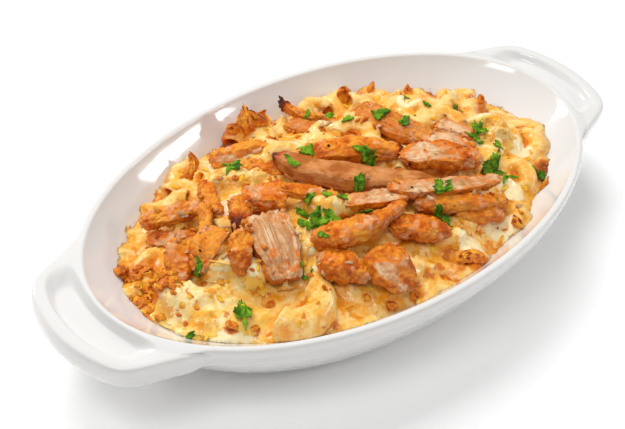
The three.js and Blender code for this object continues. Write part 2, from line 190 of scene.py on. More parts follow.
def placeCamera():
    plan = cameraPlan
    azimuth = math.radians(plan["azimuth"])
    elevation = math.radians(plan["elevation"])
    level = math.cos(elevation)
    back = Vector((math.sin(azimuth) * level, -math.cos(azimuth) * level, math.sin(elevation)))
    ahead = -back
    right = ahead.cross(Vector((0, 0, 1))).normalized()
    up = right.cross(ahead)
    turn = Matrix.Rotation(math.radians(plan["pan"]), 3, up)
    ahead, right = turn @ ahead, turn @ right
    turn = Matrix.Rotation(math.radians(plan["tilt"]), 3, right)
    ahead, up = turn @ ahead, turn @ up
    turn = Matrix.Rotation(math.radians(plan["roll"]), 3, ahead)
    right, up = turn @ right, turn @ up
    place = Vector((0, 0, plan["aimHeight"])) + plan["distance"] * back
    bpy.ops.object.camera_add(location=place)
    camera = bpy.context.object
    camera.matrix_world = Matrix.Translation(place) @ Matrix((right, up, -ahead)).transposed().to_4x4()
    camera.data.sensor_width = plan["sensorWidth"]
    camera.data.lens = plan["focalPixels"] / plan["imageWidth"] * plan["sensorWidth"]
    camera.data.clip_start = 0.01
    bpy.context.scene.camera = camera


placeCamera()
print("camera placed")


# Material building blocks

def addNode(tree, kind, **values):
    made = tree.nodes.new(kind)
    for name, value in values.items():
        setattr(made, name, value)
    return made


def feed(tree, source, target):
    if isinstance(source, (int, float, tuple)):
        target.default_value = source
    else:
        tree.links.new(source, target)


def mathNode(tree, operation, first, second=0.5, clamp=False):
    made = addNode(tree, "ShaderNodeMath", operation=operation, use_clamp=clamp)
    feed(tree, first, made.inputs[0])
    feed(tree, second, made.inputs[1])
    return made.outputs[0]


def rangeNode(tree, value, low, high, toLow=0.0, toHigh=1.0):
    made = addNode(tree, "ShaderNodeMapRange", interpolation_type="SMOOTHSTEP")
    feed(tree, value, made.inputs["Value"])
    made.inputs["From Min"].default_value = low
    made.inputs["From Max"].default_value = high
    made.inputs["To Min"].default_value = toLow
    made.inputs["To Max"].default_value = toHigh
    return made.outputs["Result"]


def mixColours(tree, share, first, second):
    made = addNode(tree, "ShaderNodeMix", data_type="RGBA")
    feed(tree, share, made.inputs["Factor"])
    feed(tree, first, made.inputs["A"])
    feed(tree, second, made.inputs["B"])
    return made.outputs["Result"]


def tinted(tree, colour, mask, share, added):
    # Lays a colour over another where a mask shows, at a share of its strength
    return mixColours(tree, mathNode(tree, "MULTIPLY", mask, share), colour, added)


def ragged(tree, mask, broken, share):
    # A mask whose edge is broken up by a noise
    return mathNode(tree, "ADD", mask, mathNode(tree, "MULTIPLY", broken, share))


def noiseNode(tree, place, scale, detail=3.0, roughness=0.55, distortion=0.0):
    made = addNode(tree, "ShaderNodeTexNoise")
    feed(tree, place, made.inputs["Vector"])
    feed(tree, scale, made.inputs["Scale"])
    made.inputs["Detail"].default_value = detail
    made.inputs["Roughness"].default_value = roughness
    made.inputs["Distortion"].default_value = distortion
    return made.outputs["Fac"]


def maskNode(tree, name):
    return addNode(tree, "ShaderNodeAttribute", attribute_name=name).outputs["Fac"]


def newGroup(name, inputs, outputs):
    group = bpy.data.node_groups.new(name, "ShaderNodeTree")
    for label, kind, value in inputs:
        socket = group.interface.new_socket(label, in_out="INPUT", socket_type=kind)
        if value is not None:
            socket.default_value = value
    for label, kind in outputs:
        group.interface.new_socket(label, in_out="OUTPUT", socket_type=kind)
    start = group.nodes.new("NodeGroupInput")
    end = group.nodes.new("NodeGroupOutput")
    return group, start.outputs, end.inputs


def useGroup(tree, group, **values):
    made = addNode(tree, "ShaderNodeGroup", node_tree=group)
    for name, value in values.items():
        feed(tree, value, made.inputs[name])
    return made.outputs


def makeMottleGroup():
    # Three colours in soft cooked patches, with a height that follows them
    group, given, out = newGroup(
        "cookedMottle",
        [("Place", "NodeSocketVector", None), ("Scale", "NodeSocketFloat", 200.0),
         ("Dark", "NodeSocketColor", None), ("Middle", "NodeSocketColor", None), ("Light", "NodeSocketColor", None)],
        [("Color", "NodeSocketColor"), ("Height", "NodeSocketFloat")],
    )
    broad = noiseNode(group, given["Place"], given["Scale"], 4.0, 0.6, 0.6)
    fine = noiseNode(group, given["Place"], mathNode(group, "MULTIPLY", given["Scale"], 3.7), 3.0)
    dark = rangeNode(group, broad, 0.34, 0.52)
    light = rangeNode(group, ragged(group, broad, fine, 0.35), 0.62, 0.84)
    lower = mixColours(group, dark, given["Dark"], given["Middle"])
    group.links.new(mixColours(group, light, lower, given["Light"]), out["Color"])
    group.links.new(ragged(group, broad, fine, 0.5), out["Height"])
    return group


def makeSpeckGroup():
    # Small specks, such as ground pepper: a few cells of a fine grid hold one each
    group, given, out = newGroup(
        "specks",
        [("Place", "NodeSocketVector", None), ("Scale", "NodeSocketFloat", 300.0),
         ("Size", "NodeSocketFloat", 0.25), ("Share", "NodeSocketFloat", 0.1), ("Ragged", "NodeSocketFloat", 0.3)],
        [("Mask", "NodeSocketFloat")],
    )
    scaled = addNode(group, "ShaderNodeVectorMath", operation="SCALE")
    group.links.new(given["Place"], scaled.inputs[0])
    group.links.new(given["Scale"], scaled.inputs["Scale"])
    wobble = addNode(group, "ShaderNodeTexNoise")
    wobble.inputs["Scale"].default_value = 2.2
    group.links.new(scaled.outputs[0], wobble.inputs["Vector"])
    centred = addNode(group, "ShaderNodeVectorMath", operation="SUBTRACT")
    centred.inputs[1].default_value = (0.5, 0.5, 0.5)
    group.links.new(wobble.outputs["Color"], centred.inputs[0])
    pushed = addNode(group, "ShaderNodeVectorMath", operation="MULTIPLY_ADD")
    group.links.new(centred.outputs[0], pushed.inputs[0])
    group.links.new(given["Ragged"], pushed.inputs[1])
    group.links.new(scaled.outputs[0], pushed.inputs[2])
    cells = addNode(group, "ShaderNodeTexVoronoi")
    group.links.new(pushed.outputs[0], cells.inputs["Vector"])
    cells.inputs["Scale"].default_value = 1.0
    cells.inputs["Randomness"].default_value = 0.9
    draw = addNode(group, "ShaderNodeSeparateColor")
    group.links.new(cells.outputs["Color"], draw.inputs["Color"])
    chosen = mathNode(group, "LESS_THAN", draw.outputs["Red"], given["Share"])
    size = mathNode(group, "MULTIPLY", given["Size"], mathNode(group, "ADD", draw.outputs["Green"], 0.4))
    inside = mathNode(group, "SUBTRACT", size, cells.outputs["Distance"])
    near = mathNode(group, "MULTIPLY_ADD", inside, 12.0, clamp=True)
    group.links.new(mathNode(group, "MULTIPLY", chosen, near), out["Mask"])
    return group


def makeFibreGroup():
    # Long fine strands that follow the first direction of a map
    group, given, out = newGroup(
        "strands",
        [("Place", "NodeSocketVector", None), ("Across", "NodeSocketFloat", 60.0), ("Along", "NodeSocketFloat", 4.0)],
        [("Height", "NodeSocketFloat"), ("Mask", "NodeSocketFloat")],
    )
    scale = addNode(group, "ShaderNodeCombineXYZ")
    group.links.new(given["Across"], scale.inputs["X"])
    group.links.new(given["Along"], scale.inputs["Y"])
    scale.inputs["Z"].default_value = 1.0
    stretched = addNode(group, "ShaderNodeVectorMath", operation="MULTIPLY")
    group.links.new(given["Place"], stretched.inputs[0])
    group.links.new(scale.outputs[0], stretched.inputs[1])
    strands = noiseNode(group, stretched.outputs[0], 1.0, 3.0, 0.6, 0.4)
    group.links.new(strands, out["Height"])
    group.links.new(rangeNode(group, strands, 0.4, 0.56), out["Mask"])
    return group


mottleGroup = makeMottleGroup()
speckGroup = makeSpeckGroup()
strandGroup = makeFibreGroup()


def startMaterial(name, roughness, **settings):
    material = bpy.data.materials.new(name)
    material.use_nodes = True
    tree = material.node_tree
    shader = tree.nodes["Principled BSDF"]
    shader.inputs["Roughness"].default_value = roughness
    for label, value in settings.items():
        shader.inputs[label.replace("_", " ")].default_value = value
    shader.inputs["Subsurface Radius"].default_value = (1.0, 0.75, 0.45)
    place = addNode(tree, "ShaderNodeTexCoord").outputs["Object"]
    return material, tree, shader, place


def bumpFrom(tree, shader, height, distance, strength=1.0):
    bump = addNode(tree, "ShaderNodeBump")
    bump.inputs["Strength"].default_value = strength
    bump.inputs["Distance"].default_value = distance
    feed(tree, height, bump.inputs["Height"])
    tree.links.new(bump.outputs["Normal"], shader.inputs["Normal"])


def makePorcelain():
    material, tree, shader, place = startMaterial(
        "whiteGlaze", 0.12, Coat_Weight=0.6, Coat_Roughness=0.04, Subsurface_Weight=0.15, Subsurface_Scale=0.004)
    cloud = noiseNode(tree, place, 22.0, 2.0)
    body = mixColours(tree, cloud, tint(223, 221, 218), tint(229, 228, 226))
    pits = useGroup(tree, speckGroup, Place=place, Scale=75.0, Size=0.045, Share=0.06)
    feed(tree, mixColours(tree, pits["Mask"], body, tint(190, 160, 120)), shader.inputs["Base Color"])
    feed(tree, rangeNode(tree, noiseNode(tree, place, 90.0), 0.3, 0.8, 0.08, 0.2), shader.inputs["Roughness"])
    bumpFrom(tree, shader, noiseNode(tree, place, 60.0, 1.0), 0.0006, 0.25)
    return material


pastaColours = {
    # Painted shade, laid in the hollows between the noodles
    "paintedCreviceShade": (224, 128, 6),
    "shade": (240, 160, 32),
    "body": (248, 188, 80),
    # Besides being the light patches of the mottle, this is painted light laid on the ridges and tops of the noodles
    "crest": (252, 214, 140),
    "melt": (251, 230, 180),
    "dot": (238, 154, 12),
    "fleck": (204, 96, 8),
    "toast": (212, 112, 12),
    "char": (122, 44, 6),
}


def makePasta():
    material, tree, shader, place = startMaterial(
        "saucedPasta", 0.34, Subsurface_Weight=0.35, Subsurface_Scale=0.003, Coat_Weight=0.55, Coat_Roughness=0.12)
    c = {name: tint(*value) for name, value in pastaColours.items()}
    mottle = useGroup(tree, mottleGroup, Place=place, Scale=150.0, Dark=c["shade"], Middle=c["body"], Light=c["crest"])
    toast = maskNode(tree, "toast")
    broken = noiseNode(tree, place, 420.0, 3.0)
    # Ridges are lightened towards the crest colour: painted light on the tops
    colour = tinted(tree, mottle["Color"], maskNode(tree, "ridge"), 0.75, c["crest"])
    melted = rangeNode(tree, ragged(tree, maskNode(tree, "melt"), broken, 0.5), 0.55, 0.95)
    colour = mixColours(tree, melted, colour, c["melt"])
    # Hollows between the noodles are darkened towards the crevice colour: painted shade
    deep = rangeNode(tree, ragged(tree, maskNode(tree, "paintedHollowShade"), broken, 0.4), 0.45, 1.0)
    colour = mixColours(tree, deep, colour, c["paintedCreviceShade"])
    dots = useGroup(tree, speckGroup, Place=place, Scale=300.0, Size=0.4, Share=0.32, Ragged=1.5)
    colour = tinted(tree, colour, dots["Mask"], 0.8, c["dot"])
    flecks = useGroup(tree, speckGroup, Place=place, Scale=170.0, Size=0.22, Share=0.12, Ragged=1.0)
    colour = tinted(tree, colour, flecks["Mask"], 0.8, c["fleck"])
    colour = mixColours(tree, rangeNode(tree, ragged(tree, toast, broken, 0.6), 0.62, 1.05), colour, c["toast"])
    colour = mixColours(tree, rangeNode(tree, ragged(tree, toast, broken, 0.7), 1.12, 1.45), colour, c["char"])
    feed(tree, colour, shader.inputs["Base Color"])
    feed(tree, rangeNode(tree, broken, 0.3, 0.75, 0.26, 0.48), shader.inputs["Roughness"])
    grain = noiseNode(tree, place, 900.0, 3.0)
    bumpFrom(tree, shader, ragged(tree, mottle["Height"], grain, 0.4), 0.0009, 0.6)
    return material


def makeMelt():
    material, tree, shader, place = startMaterial(
        "meltedCheese", 0.3, Subsurface_Weight=0.25, Subsurface_Scale=0.001, Coat_Weight=0.6, Coat_Roughness=0.12)
    mottle = useGroup(
        tree, mottleGroup, Place=place, Scale=95.0,
        Dark=tint(236, 170, 56), Middle=tint(247, 199, 102), Light=tint(253, 228, 166))
    dots = useGroup(tree, speckGroup, Place=place, Scale=250.0, Size=0.44, Share=0.58, Ragged=1.6)
    colour = tinted(tree, mottle["Color"], dots["Mask"], 0.85, tint(238, 154, 16))
    flecks = useGroup(tree, speckGroup, Place=place, Scale=190.0, Size=0.26, Share=0.24, Ragged=0.9)
    colour = tinted(tree, colour, flecks["Mask"], 0.8, tint(222, 122, 10))
    edge = ragged(tree, maskNode(tree, "edge"), noiseNode(tree, place, 300.0), 0.7)
    colour = mixColours(tree, rangeNode(tree, edge, 0.5, 1.2), colour, tint(248, 200, 80))
    feed(tree, colour, shader.inputs["Base Color"])
    feed(tree, rangeNode(tree, mottle["Height"], 0.4, 0.9, 0.22, 0.4), shader.inputs["Roughness"])
    bumpFrom(tree, shader, mathNode(tree, "ADD", mottle["Height"], noiseNode(tree, place, 500.0)), 0.0006, 0.5)
    return material


chickenColours = {
    "roastDark": (186, 78, 6),
    "roast": (216, 112, 8),
    "roastLight": (236, 156, 50),
    "meatDark": (192, 134, 84),
    "meat": (224, 178, 128),
    "meatLight": (240, 208, 168),
    "rim": (228, 118, 8),
    "brown": (168, 92, 28),
    "tan": (216, 148, 88),
    "singed": (104, 32, 5),
    "char": (34, 12, 5),
}


def makeChicken():
    material, tree, shader, place = startMaterial(
        "roastChicken", 0.42, Subsurface_Weight=0.2, Subsurface_Scale=0.002, Coat_Weight=0.38, Coat_Roughness=0.13,
        Specular_IOR_Level=0.25)
    c = {name: tint(*value) for name, value in chickenColours.items()}
    skin = useGroup(
        tree, mottleGroup, Place=place, Scale=190.0, Dark=c["roastDark"], Middle=c["roast"], Light=c["roastLight"])
    meat = useGroup(
        tree, mottleGroup, Place=place, Scale=160.0, Dark=c["meatDark"], Middle=c["meat"], Light=c["meatLight"])
    along = addNode(tree, "ShaderNodeUVMap", uv_map="grain").outputs["UV"]
    strands = useGroup(tree, strandGroup, Place=along, Across=46.0, Along=5.0)
    broken = noiseNode(tree, place, 520.0, 4.0)
    torn = ragged(tree, maskNode(tree, "torn"), broken, 0.7)
    bare = rangeNode(tree, torn, 0.58, 1.34)
    strand = maskNode(tree, "strand")
    gap = mathNode(tree, "MULTIPLY", mathNode(tree, "SUBTRACT", 1.0, strands["Mask"]), strand)
    streaked = tinted(tree, meat["Color"], gap, 0.9, c["meatDark"])
    blush = rangeNode(tree, noiseNode(tree, place, 190.0, 4.0), 0.5, 0.66)
    streaked = tinted(tree, streaked, blush, 0.8, c["rim"])
    pale = rangeNode(tree, noiseNode(tree, place, 55.0, 2.0), 0.45, 0.7)
    deep = rangeNode(tree, noiseNode(tree, place, 75.0, 3.0), 0.58, 0.72)
    tone = mixColours(tree, deep, mixColours(tree, pale, skin["Color"], c["roastLight"]), c["roastDark"])
    colour = mixColours(tree, bare, tinted(tree, tone, rangeNode(tree, torn, 0.5, 0.7), 0.8, c["rim"]), streaked)
    tanned = mixColours(tree, rangeNode(tree, noiseNode(tree, place, 130.0, 4.0), 0.38, 0.66), c["brown"], c["tan"])
    colour = tinted(tree, colour, maskNode(tree, "brown"), 0.85, tanned)
    singed = ragged(tree, maskNode(tree, "char"), broken, 0.6)
    for low, high, name in ((0.45, 0.75, "roastDark"), (0.75, 1.05, "singed"), (1.2, 1.32, "char")):
        colour = mixColours(tree, rangeNode(tree, singed, low, high), colour, c[name])
    pepper = useGroup(tree, speckGroup, Place=place, Scale=270.0, Size=0.2, Share=0.07)
    colour = mixColours(tree, pepper["Mask"], colour, c["char"])
    paprika = useGroup(tree, speckGroup, Place=place, Scale=420.0, Size=0.3, Share=0.12)
    colour = tinted(tree, colour, paprika["Mask"], 0.6, c["roastDark"])
    feed(tree, colour, shader.inputs["Base Color"])
    feed(tree, rangeNode(tree, broken, 0.3, 0.7, 0.3, 0.55), shader.inputs["Roughness"])
    pores = mathNode(tree, "MULTIPLY", noiseNode(tree, place, 800.0, 4.0), 0.7)
    grain = mathNode(tree, "MULTIPLY", strands["Height"], mathNode(tree, "ADD", strand, 0.3))
    bumpFrom(tree, shader, mathNode(tree, "ADD", pores, grain), 0.0009, 0.7)
    return material


def makeParsley():
    material, tree, shader, place = startMaterial(
        "parsleyLeaf", 0.45, Subsurface_Weight=0.1, Subsurface_Scale=0.001, Specular_IOR_Level=0.25)
    patches = useGroup(
        tree, mottleGroup, Place=place, Scale=260.0,
        Dark=tint(38, 80, 4), Middle=tint(78, 126, 10), Light=tint(132, 172, 36))
    vein = rangeNode(tree, maskNode(tree, "vein"), 0.5, 1.0)
    feed(tree, tinted(tree, patches["Color"], vein, 0.5, tint(146, 180, 48)), shader.inputs["Base Color"])
    feed(tree, rangeNode(tree, patches["Height"], 0.4, 0.9, 0.35, 0.55), shader.inputs["Roughness"])
    bumpFrom(tree, shader, mathNode(tree, "ADD", patches["Height"], maskNode(tree, "vein")), 0.0004, 0.6)
    return material


def makeCrust():
    material, tree, shader, place = startMaterial(
        "brownedCrust", 0.4, Subsurface_Weight=0.15, Subsurface_Scale=0.002, Coat_Weight=0.25, Coat_Roughness=0.2)
    mottle = useGroup(
        tree, mottleGroup, Place=place, Scale=260.0,
        Dark=tint(196, 92, 6), Middle=tint(226, 126, 10), Light=tint(244, 170, 40))
    burnt = ragged(tree, maskNode(tree, "char"), mottle["Height"], 0.3)
    feed(tree, mixColours(tree, rangeNode(tree, burnt, 0.5, 1.25), mottle["Color"], tint(128, 40, 4)),
         shader.inputs["Base Color"])
    feed(tree, rangeNode(tree, mottle["Height"], 0.4, 0.9, 0.3, 0.52), shader.inputs["Roughness"])
    bumpFrom(tree, shader, mathNode(tree, "ADD", mottle["Height"], noiseNode(tree, place, 700.0)), 0.001, 0.7)
    return material


def makeCheddar():
    material, tree, shader, place = startMaterial(
        "cheddarShreds", 0.36, Subsurface_Weight=0.3, Subsurface_Scale=0.002, Coat_Weight=0.2, Coat_Roughness=0.2)
    mottle = useGroup(
        tree, mottleGroup, Place=place, Scale=240.0,
        Dark=tint(222, 128, 6), Middle=tint(242, 168, 20), Light=tint(252, 206, 72))
    feed(tree, mottle["Color"], shader.inputs["Base Color"])
    feed(tree, rangeNode(tree, mottle["Height"], 0.4, 0.9, 0.28, 0.46), shader.inputs["Roughness"])
    bumpFrom(tree, shader, mottle["Height"], 0.0007, 0.6)
    return material


porcelain = makePorcelain()
saucedPasta = makePasta()
meltedCheese = makeMelt()
roastChicken = makeChicken()
parsleyLeaf = makeParsley()
brownedCrust = makeCrust()
cheddar = makeCheddar()
print("materials made")


# The dish: rings drawn up round an oval, with a lug handle pulled out of the collar at each end

dishPlan = {
    "sides": 240,
    "start": 30,
    "outerShare": 73 / 124,
    "innerShare": 69 / 119.6,
    "outerRings": [(60, 0), (80, 0), (84, 0.15), (86.3, 0.8), (88, 1.8), (95, 7.4), (103, 14.2), (109.5, 20.1),
                   (115.6, 27), (119.2, 31.2), (120.5, 33.0), (120.9, 33.6)],
    "collar": [(121.1, 33.8), (121.5, 34.0), (122.4, 34.3), (123.1, 36.2), (123.8, 38.6), (123.9, 40.2),
               (123.5, 41.4), (122.8, 42.2), (121.7, 42.5)],
    "collarSteps": 44,
    "innerRings": [(120.9, 42.35), (120.2, 41.75), (119.4, 40.95), (117, 39), (114.3, 37), (111.5, 35), (108.4, 33),
                   (105.3, 31), (100.6, 27.7), (96.2, 24), (89, 18.2), (83, 13.2), (78.5, 9.8), (73, 7.6), (66, 6.4),
                   (58, 6), (30, 6)],
    "lugOutline": [(93, 47), (98, 43.2), (107, 38.6), (115.5, 35.1), (123.5, 32.4), (129.5, 30.7), (133, 29),
                   (135.8, 26), (138.4, 20.8), (140.9, 13), (142.2, 5), (142.5, 0)],
    "rimHalfLength": 124,
    "lugFrom": 33.7,
    "lugAngle": 28,
    # Section of a lug along the collar: share of the way, height, step out from the rim, share of the lug's reach
    "lugSection": [(0, 33.8, -2.9, 0), (0.06, 32.6, -1.2, 0), (0.28, 31.9, -3.4, 1), (0.34, 32.2, -1.6, 1),
                   (0.39, 33.2, -0.5, 1), (0.44, 35.2, 0, 1), (0.49, 38.4, 0, 1), (0.54, 40.3, -0.4, 1),
                   (0.60, 41.4, -1.3, 1), (0.66, 41.75, -3.2, 1), (0.84, 41.8, 2.6, 0), (0.92, 42.2, 0.2, 0),
                   (1, 42.5, -2.3, 0)],
    "crestRow": 10,
    "crestShare": 0.4,
    "dent": {"middle": 129.3, "halfWidth": 7.1, "halfLength": 28.5, "depth": 3.6, "bend": 5.6, "corner": 3.6,
             "bowAt": 24, "from": 110},
}


def lugReach(angles):
    # How far a lug's edge lies from the middle of the dish, by direction
    outline = dishPlan["lugOutline"][::-1]
    fromAxis = [math.atan2(y, x) for x, y in outline]
    reach = [math.hypot(x, y) for x, y in outline]
    window = np.radians(np.linspace(-1.2, 1.2, 9))
    spread = [np.interp(np.abs(angles + shift), fromAxis, reach) for shift in window]
    return np.mean(spread, axis=0)


def drawOutLugs(points, share):
    # Draws the collar out into a lug at each end
    plan = dishPlan
    collar = np.array(plan["collar"]) * mm
    length = lengthsAlong(collar)
    length /= length[-1]
    steps, heights, stepsOut, shares = np.array(plan["lugSection"]).T
    crest = plan["crestRow"]
    samples = np.linspace(0, 1, 400)
    curve = np.stack([np.interp(samples, length, collar[:, k]) for k in (0, 1)], axis=1)
    reach = np.hypot(points[:, 0], points[:, 1] / share)
    onCollar = np.flatnonzero((points[:, 2] > plan["lugFrom"] * mm) & (reach > 121.05 * mm))
    for i in onCollar:
        x, y, z = points[i]
        gaps = np.hypot(curve[:, 0] - reach[i], curve[:, 1] - z)
        along = samples[int(gaps.argmin())]
        angle = math.atan2(y, abs(x))
        rim = math.hypot(x, y) * plan["rimHalfLength"] * mm / reach[i]
        extent = float(lugReach(np.array([angle]))[0]) * mm - rim
        if abs(angle) > math.radians(plan["lugAngle"]) or extent <= 0:
            continue
        outward = stepsOut * mm + shares * extent
        outward[crest] = min(outward[crest], extent * plan["crestShare"])
        wide = rim + np.interp(along, steps, outward)
        high = np.interp(along, steps, heights) * mm
        drawn = float(smoothStep(0, 3.5 * mm, extent))
        direction = np.array([x, y]) / math.hypot(x, y)
        flat = (1 - drawn) * np.array([x, y]) + drawn * wide * direction
        points[i] = (*flat, (1 - drawn) * z + drawn * high)
    return points


def sinkDents(points):
    # A kidney-shaped dent with crisp sides in the top of each lug
    dent = dishPlan["dent"]
    x, y, z = np.abs(points[:, 0]) / mm, np.abs(points[:, 1]) / mm, points[:, 2] / mm
    bow = (y / dent["bowAt"]) ** 2
    across = np.abs(x - dent["middle"] + dent["bend"] * bow) / (dent["halfWidth"] + bow)
    lengthwise = y / dent["halfLength"]
    far = (across ** dent["corner"] + lengthwise ** dent["corner"]) ** (1 / dent["corner"])
    sunk = dent["depth"] * (1 - smoothStep(0.7, 1.02, far)) * smoothStep(38.5, 40.5, z)
    points[:, 2] -= np.where(x > dent["from"], sunk, 0) * mm
    return points


def makeDish():
    plan = dishPlan
    sides = plan["sides"]
    bpy.ops.mesh.primitive_circle_add(
        vertices=sides, radius=plan["start"] * mm, fill_type="NOTHING", location=(0, 0, 0))
    dish = pick(bpy.context.object)
    dish.name = "gratinDish"
    collar = np.array(plan["collar"])
    length = lengthsAlong(collar)
    steps = np.linspace(0, length[-1], plan["collarSteps"])
    collarRings = [(np.interp(s, length, collar[:, 0]), np.interp(s, length, collar[:, 1])) for s in steps]
    outer = [(half, half * plan["outerShare"], z) for half, z in [*plan["outerRings"], *collarRings]]
    inner = [(half, half * plan["innerShare"], z) for half, z in plan["innerRings"]]
    rings = [*outer, *inner]
    bpy.ops.object.mode_set(mode="EDIT")
    bpy.ops.mesh.select_all(action="SELECT")
    bpy.ops.transform.resize(value=(1, plan["outerShare"], 1))
    bpy.ops.mesh.fill_grid(span=sides // 4)
    bpy.ops.mesh.select_mode(type="EDGE")
    bpy.ops.mesh.select_all(action="SELECT")
    bpy.ops.mesh.region_to_loop()
    halfNow, wideNow, zNow = plan["start"], plan["start"] * plan["outerShare"], 0
    for half, wide, z in rings:
        bpy.ops.mesh.extrude_edges_move(TRANSFORM_OT_translate={"value": (0, 0, (z - zNow) * mm)})
        bpy.ops.transform.resize(value=(half / halfNow, wide / wideNow, 1), center_override=(0, 0, z * mm))
        halfNow, wideNow, zNow = half, wide, z
    bpy.ops.mesh.fill_grid(span=sides // 4)
    bpy.ops.mesh.select_all(action="SELECT")
    bpy.ops.mesh.normals_make_consistent(inside=False)
    bpy.ops.object.mode_set(mode="OBJECT")
    setPoints(dish, drawOutLugs(getPoints(dish), plan["outerShare"]))
    modify(dish, "SUBSURF", levels=1, render_levels=1)
    setPoints(dish, sinkDents(getPoints(dish)))
    return finishPiece(dish, porcelain, "white_glaze", "gratin_dish")


makeDish()
print("dish made")


# The heap: a mound of sauce with elbow macaroni half sunk in it, run together by a remesh and smoothing

moundPlan = {
    "mouthHalfLength": 119.6,
    "mouthHalfWidth": 69,
    "reach": 112,
    "edgeHeight": 29,
    "middleHeight": 42,
    "edgeShare": 0.9,
    "power": 2.4,
    "relief": 1.1,
    "bottom": 22,
    "wallGap": 0.02,
}
insideWall = [(58, 6), (78.5, 9.8), (96.2, 24), (105.3, 31), (111.5, 35), (117, 39), (119.4, 40.95), (121, 42.5)]


def moundHeight(x, y):
    # All in millimetres
    plan = moundPlan
    share = np.hypot(x / plan["mouthHalfLength"], y / plan["mouthHalfWidth"]) / plan["edgeShare"]
    rise = (plan["middleHeight"] - plan["edgeHeight"]) * (1 - np.minimum(share, 1.1) ** plan["power"])
    lumps = np.sin(x / 4.1 + y / 9) * np.cos(y / 3.7 - x / 11) + 0.5 * np.sin((x - y) / 5.3)
    return plan["edgeHeight"] + rise + plan["relief"] * lumps


def wallReach(z):
    # Half length of the dish's inside at a height, in millimetres
    return np.interp(z, [p[1] for p in insideWall], [p[0] for p in insideWall])


def mouthReach(points):
    # How far out points lie in the oval of the mouth, as a half length in millimetres
    share = moundPlan["mouthHalfWidth"] / moundPlan["mouthHalfLength"]
    return np.hypot(points[:, 0], points[:, 1] / share) / mm


def keepInside(points, gap):
    # Pulls points in from the wall of the dish
    reach = mouthReach(points)
    limit = wallReach(points[:, 2] / mm) - gap
    squeeze = np.minimum(1, limit / np.maximum(reach, 1e-6))
    points[:, 0] *= squeeze
    points[:, 1] *= squeeze
    return points


def makeCore():
    plan = moundPlan
    bpy.ops.mesh.primitive_grid_add(x_subdivisions=130, y_subdivisions=80, size=2)
    core = pick(bpy.context.object)
    bpy.ops.object.mode_set(mode="EDIT")
    bpy.ops.mesh.select_all(action="SELECT")
    bpy.ops.mesh.extrude_region_move(TRANSFORM_OT_translate={"value": (0, 0, 1)})
    bpy.ops.object.mode_set(mode="OBJECT")
    points = getPoints(core)
    edge = np.maximum(np.abs(points[:, 0]), np.abs(points[:, 1])) > 0.999
    x, y = discFromSquare(points)
    x, y = plan["reach"] * x, plan["reach"] * plan["mouthHalfWidth"] / plan["mouthHalfLength"] * y
    z = np.where(points[:, 2] > 0.5, moundHeight(x, y) - 0.4, plan["bottom"])
    points = keepInside(np.stack([x, y, z], axis=1) * mm, plan["wallGap"])
    out = (wallReach(points[:, 2] / mm) - plan["wallGap"]) / mouthReach(points)
    points[edge, :2] *= out[edge, None]
    setPoints(core, points)
    return fixNormals(core)


chickenSpots = [
    # x, y, reach of the places where chicken presses the noodles down
    (-72, 24, 14), (-80, 5, 12), (-70, 0, 11), (-64, -8, 10), (-52, 24, 10), (-52, 6, 9), (-37, 8, 10), (-23, 33, 9),
    (-20, 43, 11), (-6, 14, 10), (12, 36, 9), (24, 28, 9), (38, 18, 10), (42, 2, 10), (58, -6, 12), (38, -16, 11),
    (24, -26, 12), (45, -36, 10), (0, -12, 10), (-24, 4, 10), (-12, -20, 10), (-24, -29, 12), (-36, -36, 10),
    (-20, -46, 10), (3, -38, 11), (34, -43, 11), (-52, -14, 13), (-48, -2, 9),
    (56, -14, 12), (6, -17, 10), (26, -18, 11), (38, -26, 11), (15, -22, 9), (50, -20, 9),
]
elbowPlan = {"radius": 4.3, "bore": 2.7, "bend": 7.4, "sweep": 166, "sides": 12, "steps": 10}


def makeElbow():
    plan = elbowPlan
    bpy.ops.mesh.primitive_circle_add(
        vertices=plan["sides"], radius=plan["radius"] * mm, location=(plan["bend"] * mm, 0, 0),
        rotation=(math.pi / 2, 0, 0))
    elbow = settle(bpy.context.object)
    bpy.ops.object.mode_set(mode="EDIT")
    bpy.ops.mesh.select_all(action="SELECT")
    bpy.ops.mesh.spin(
        steps=plan["steps"], angle=math.radians(plan["sweep"]), center=(0, 0, 0), axis=(0, 0, 1), use_auto_merge=False)
    bpy.ops.mesh.select_all(action="SELECT")
    bpy.ops.mesh.normals_make_consistent(inside=False)
    bpy.ops.object.mode_set(mode="OBJECT")
    modify(elbow, "SOLIDIFY", thickness=(plan["radius"] - plan["bore"]) * mm, offset=-1)
    return elbow


def copyMesh(source, place, turn, size):
    copy = source.copy()
    copy.data = source.data.copy()
    bpy.context.scene.collection.objects.link(copy)
    matrix = Matrix.LocRotScale(Vector(place), turn.to_quaternion(), Vector((size, size, size)))
    copy.data.transform(matrix)
    return copy


plainElbows = [
    # x, y, heading, tilt, size, lift
    (-59, -33.5, 8, 6, 1.5, 1.8), (73, 20, 20, -35, 1, 1), (84, 16, 70, 30, 1, 1), (93, -4, 120, 20, 1, 1),
    (89, -19, 60, -15, 1, 1), (80, -31, 10, 20, 1, 1), (-85, 24, 150, 15, 1, 1), (-42, 46, 220, -10, 1, 1),
    (-22, -35, 330, 10, 0.9, 1), (21, -50, 250, 20, 1, 1), (-4, -54, 160, -12, 1, 1), (-40, -50, 300, 15, 1, 1),
    (40, -52, 90, -20, 1, 1), (58, -45, 200, 15, 1, 1), (6, 52, 30, 10, 1, 1), (56, 40, 170, 12, 1, 1),
    (-60, 45, 100, 10, 1, 1), (-74, 41, 240, -15, 1, 1), (-94, 8, 40, 12, 1, 1), (70, 36, 300, -18, 1, 1),
    (66, 14, 140, 15, 1, 1.5), (90, 6, 200, -20, 0.95, 1), (-96, -8, 80, 10, 1, 1.5), (78, 3, 300, 20, 1, 1.5),
]
spreadPlan = {"count": 330, "seed": 11, "spacing": 8.2, "reach": 0.93, "roundBigOne": 17}


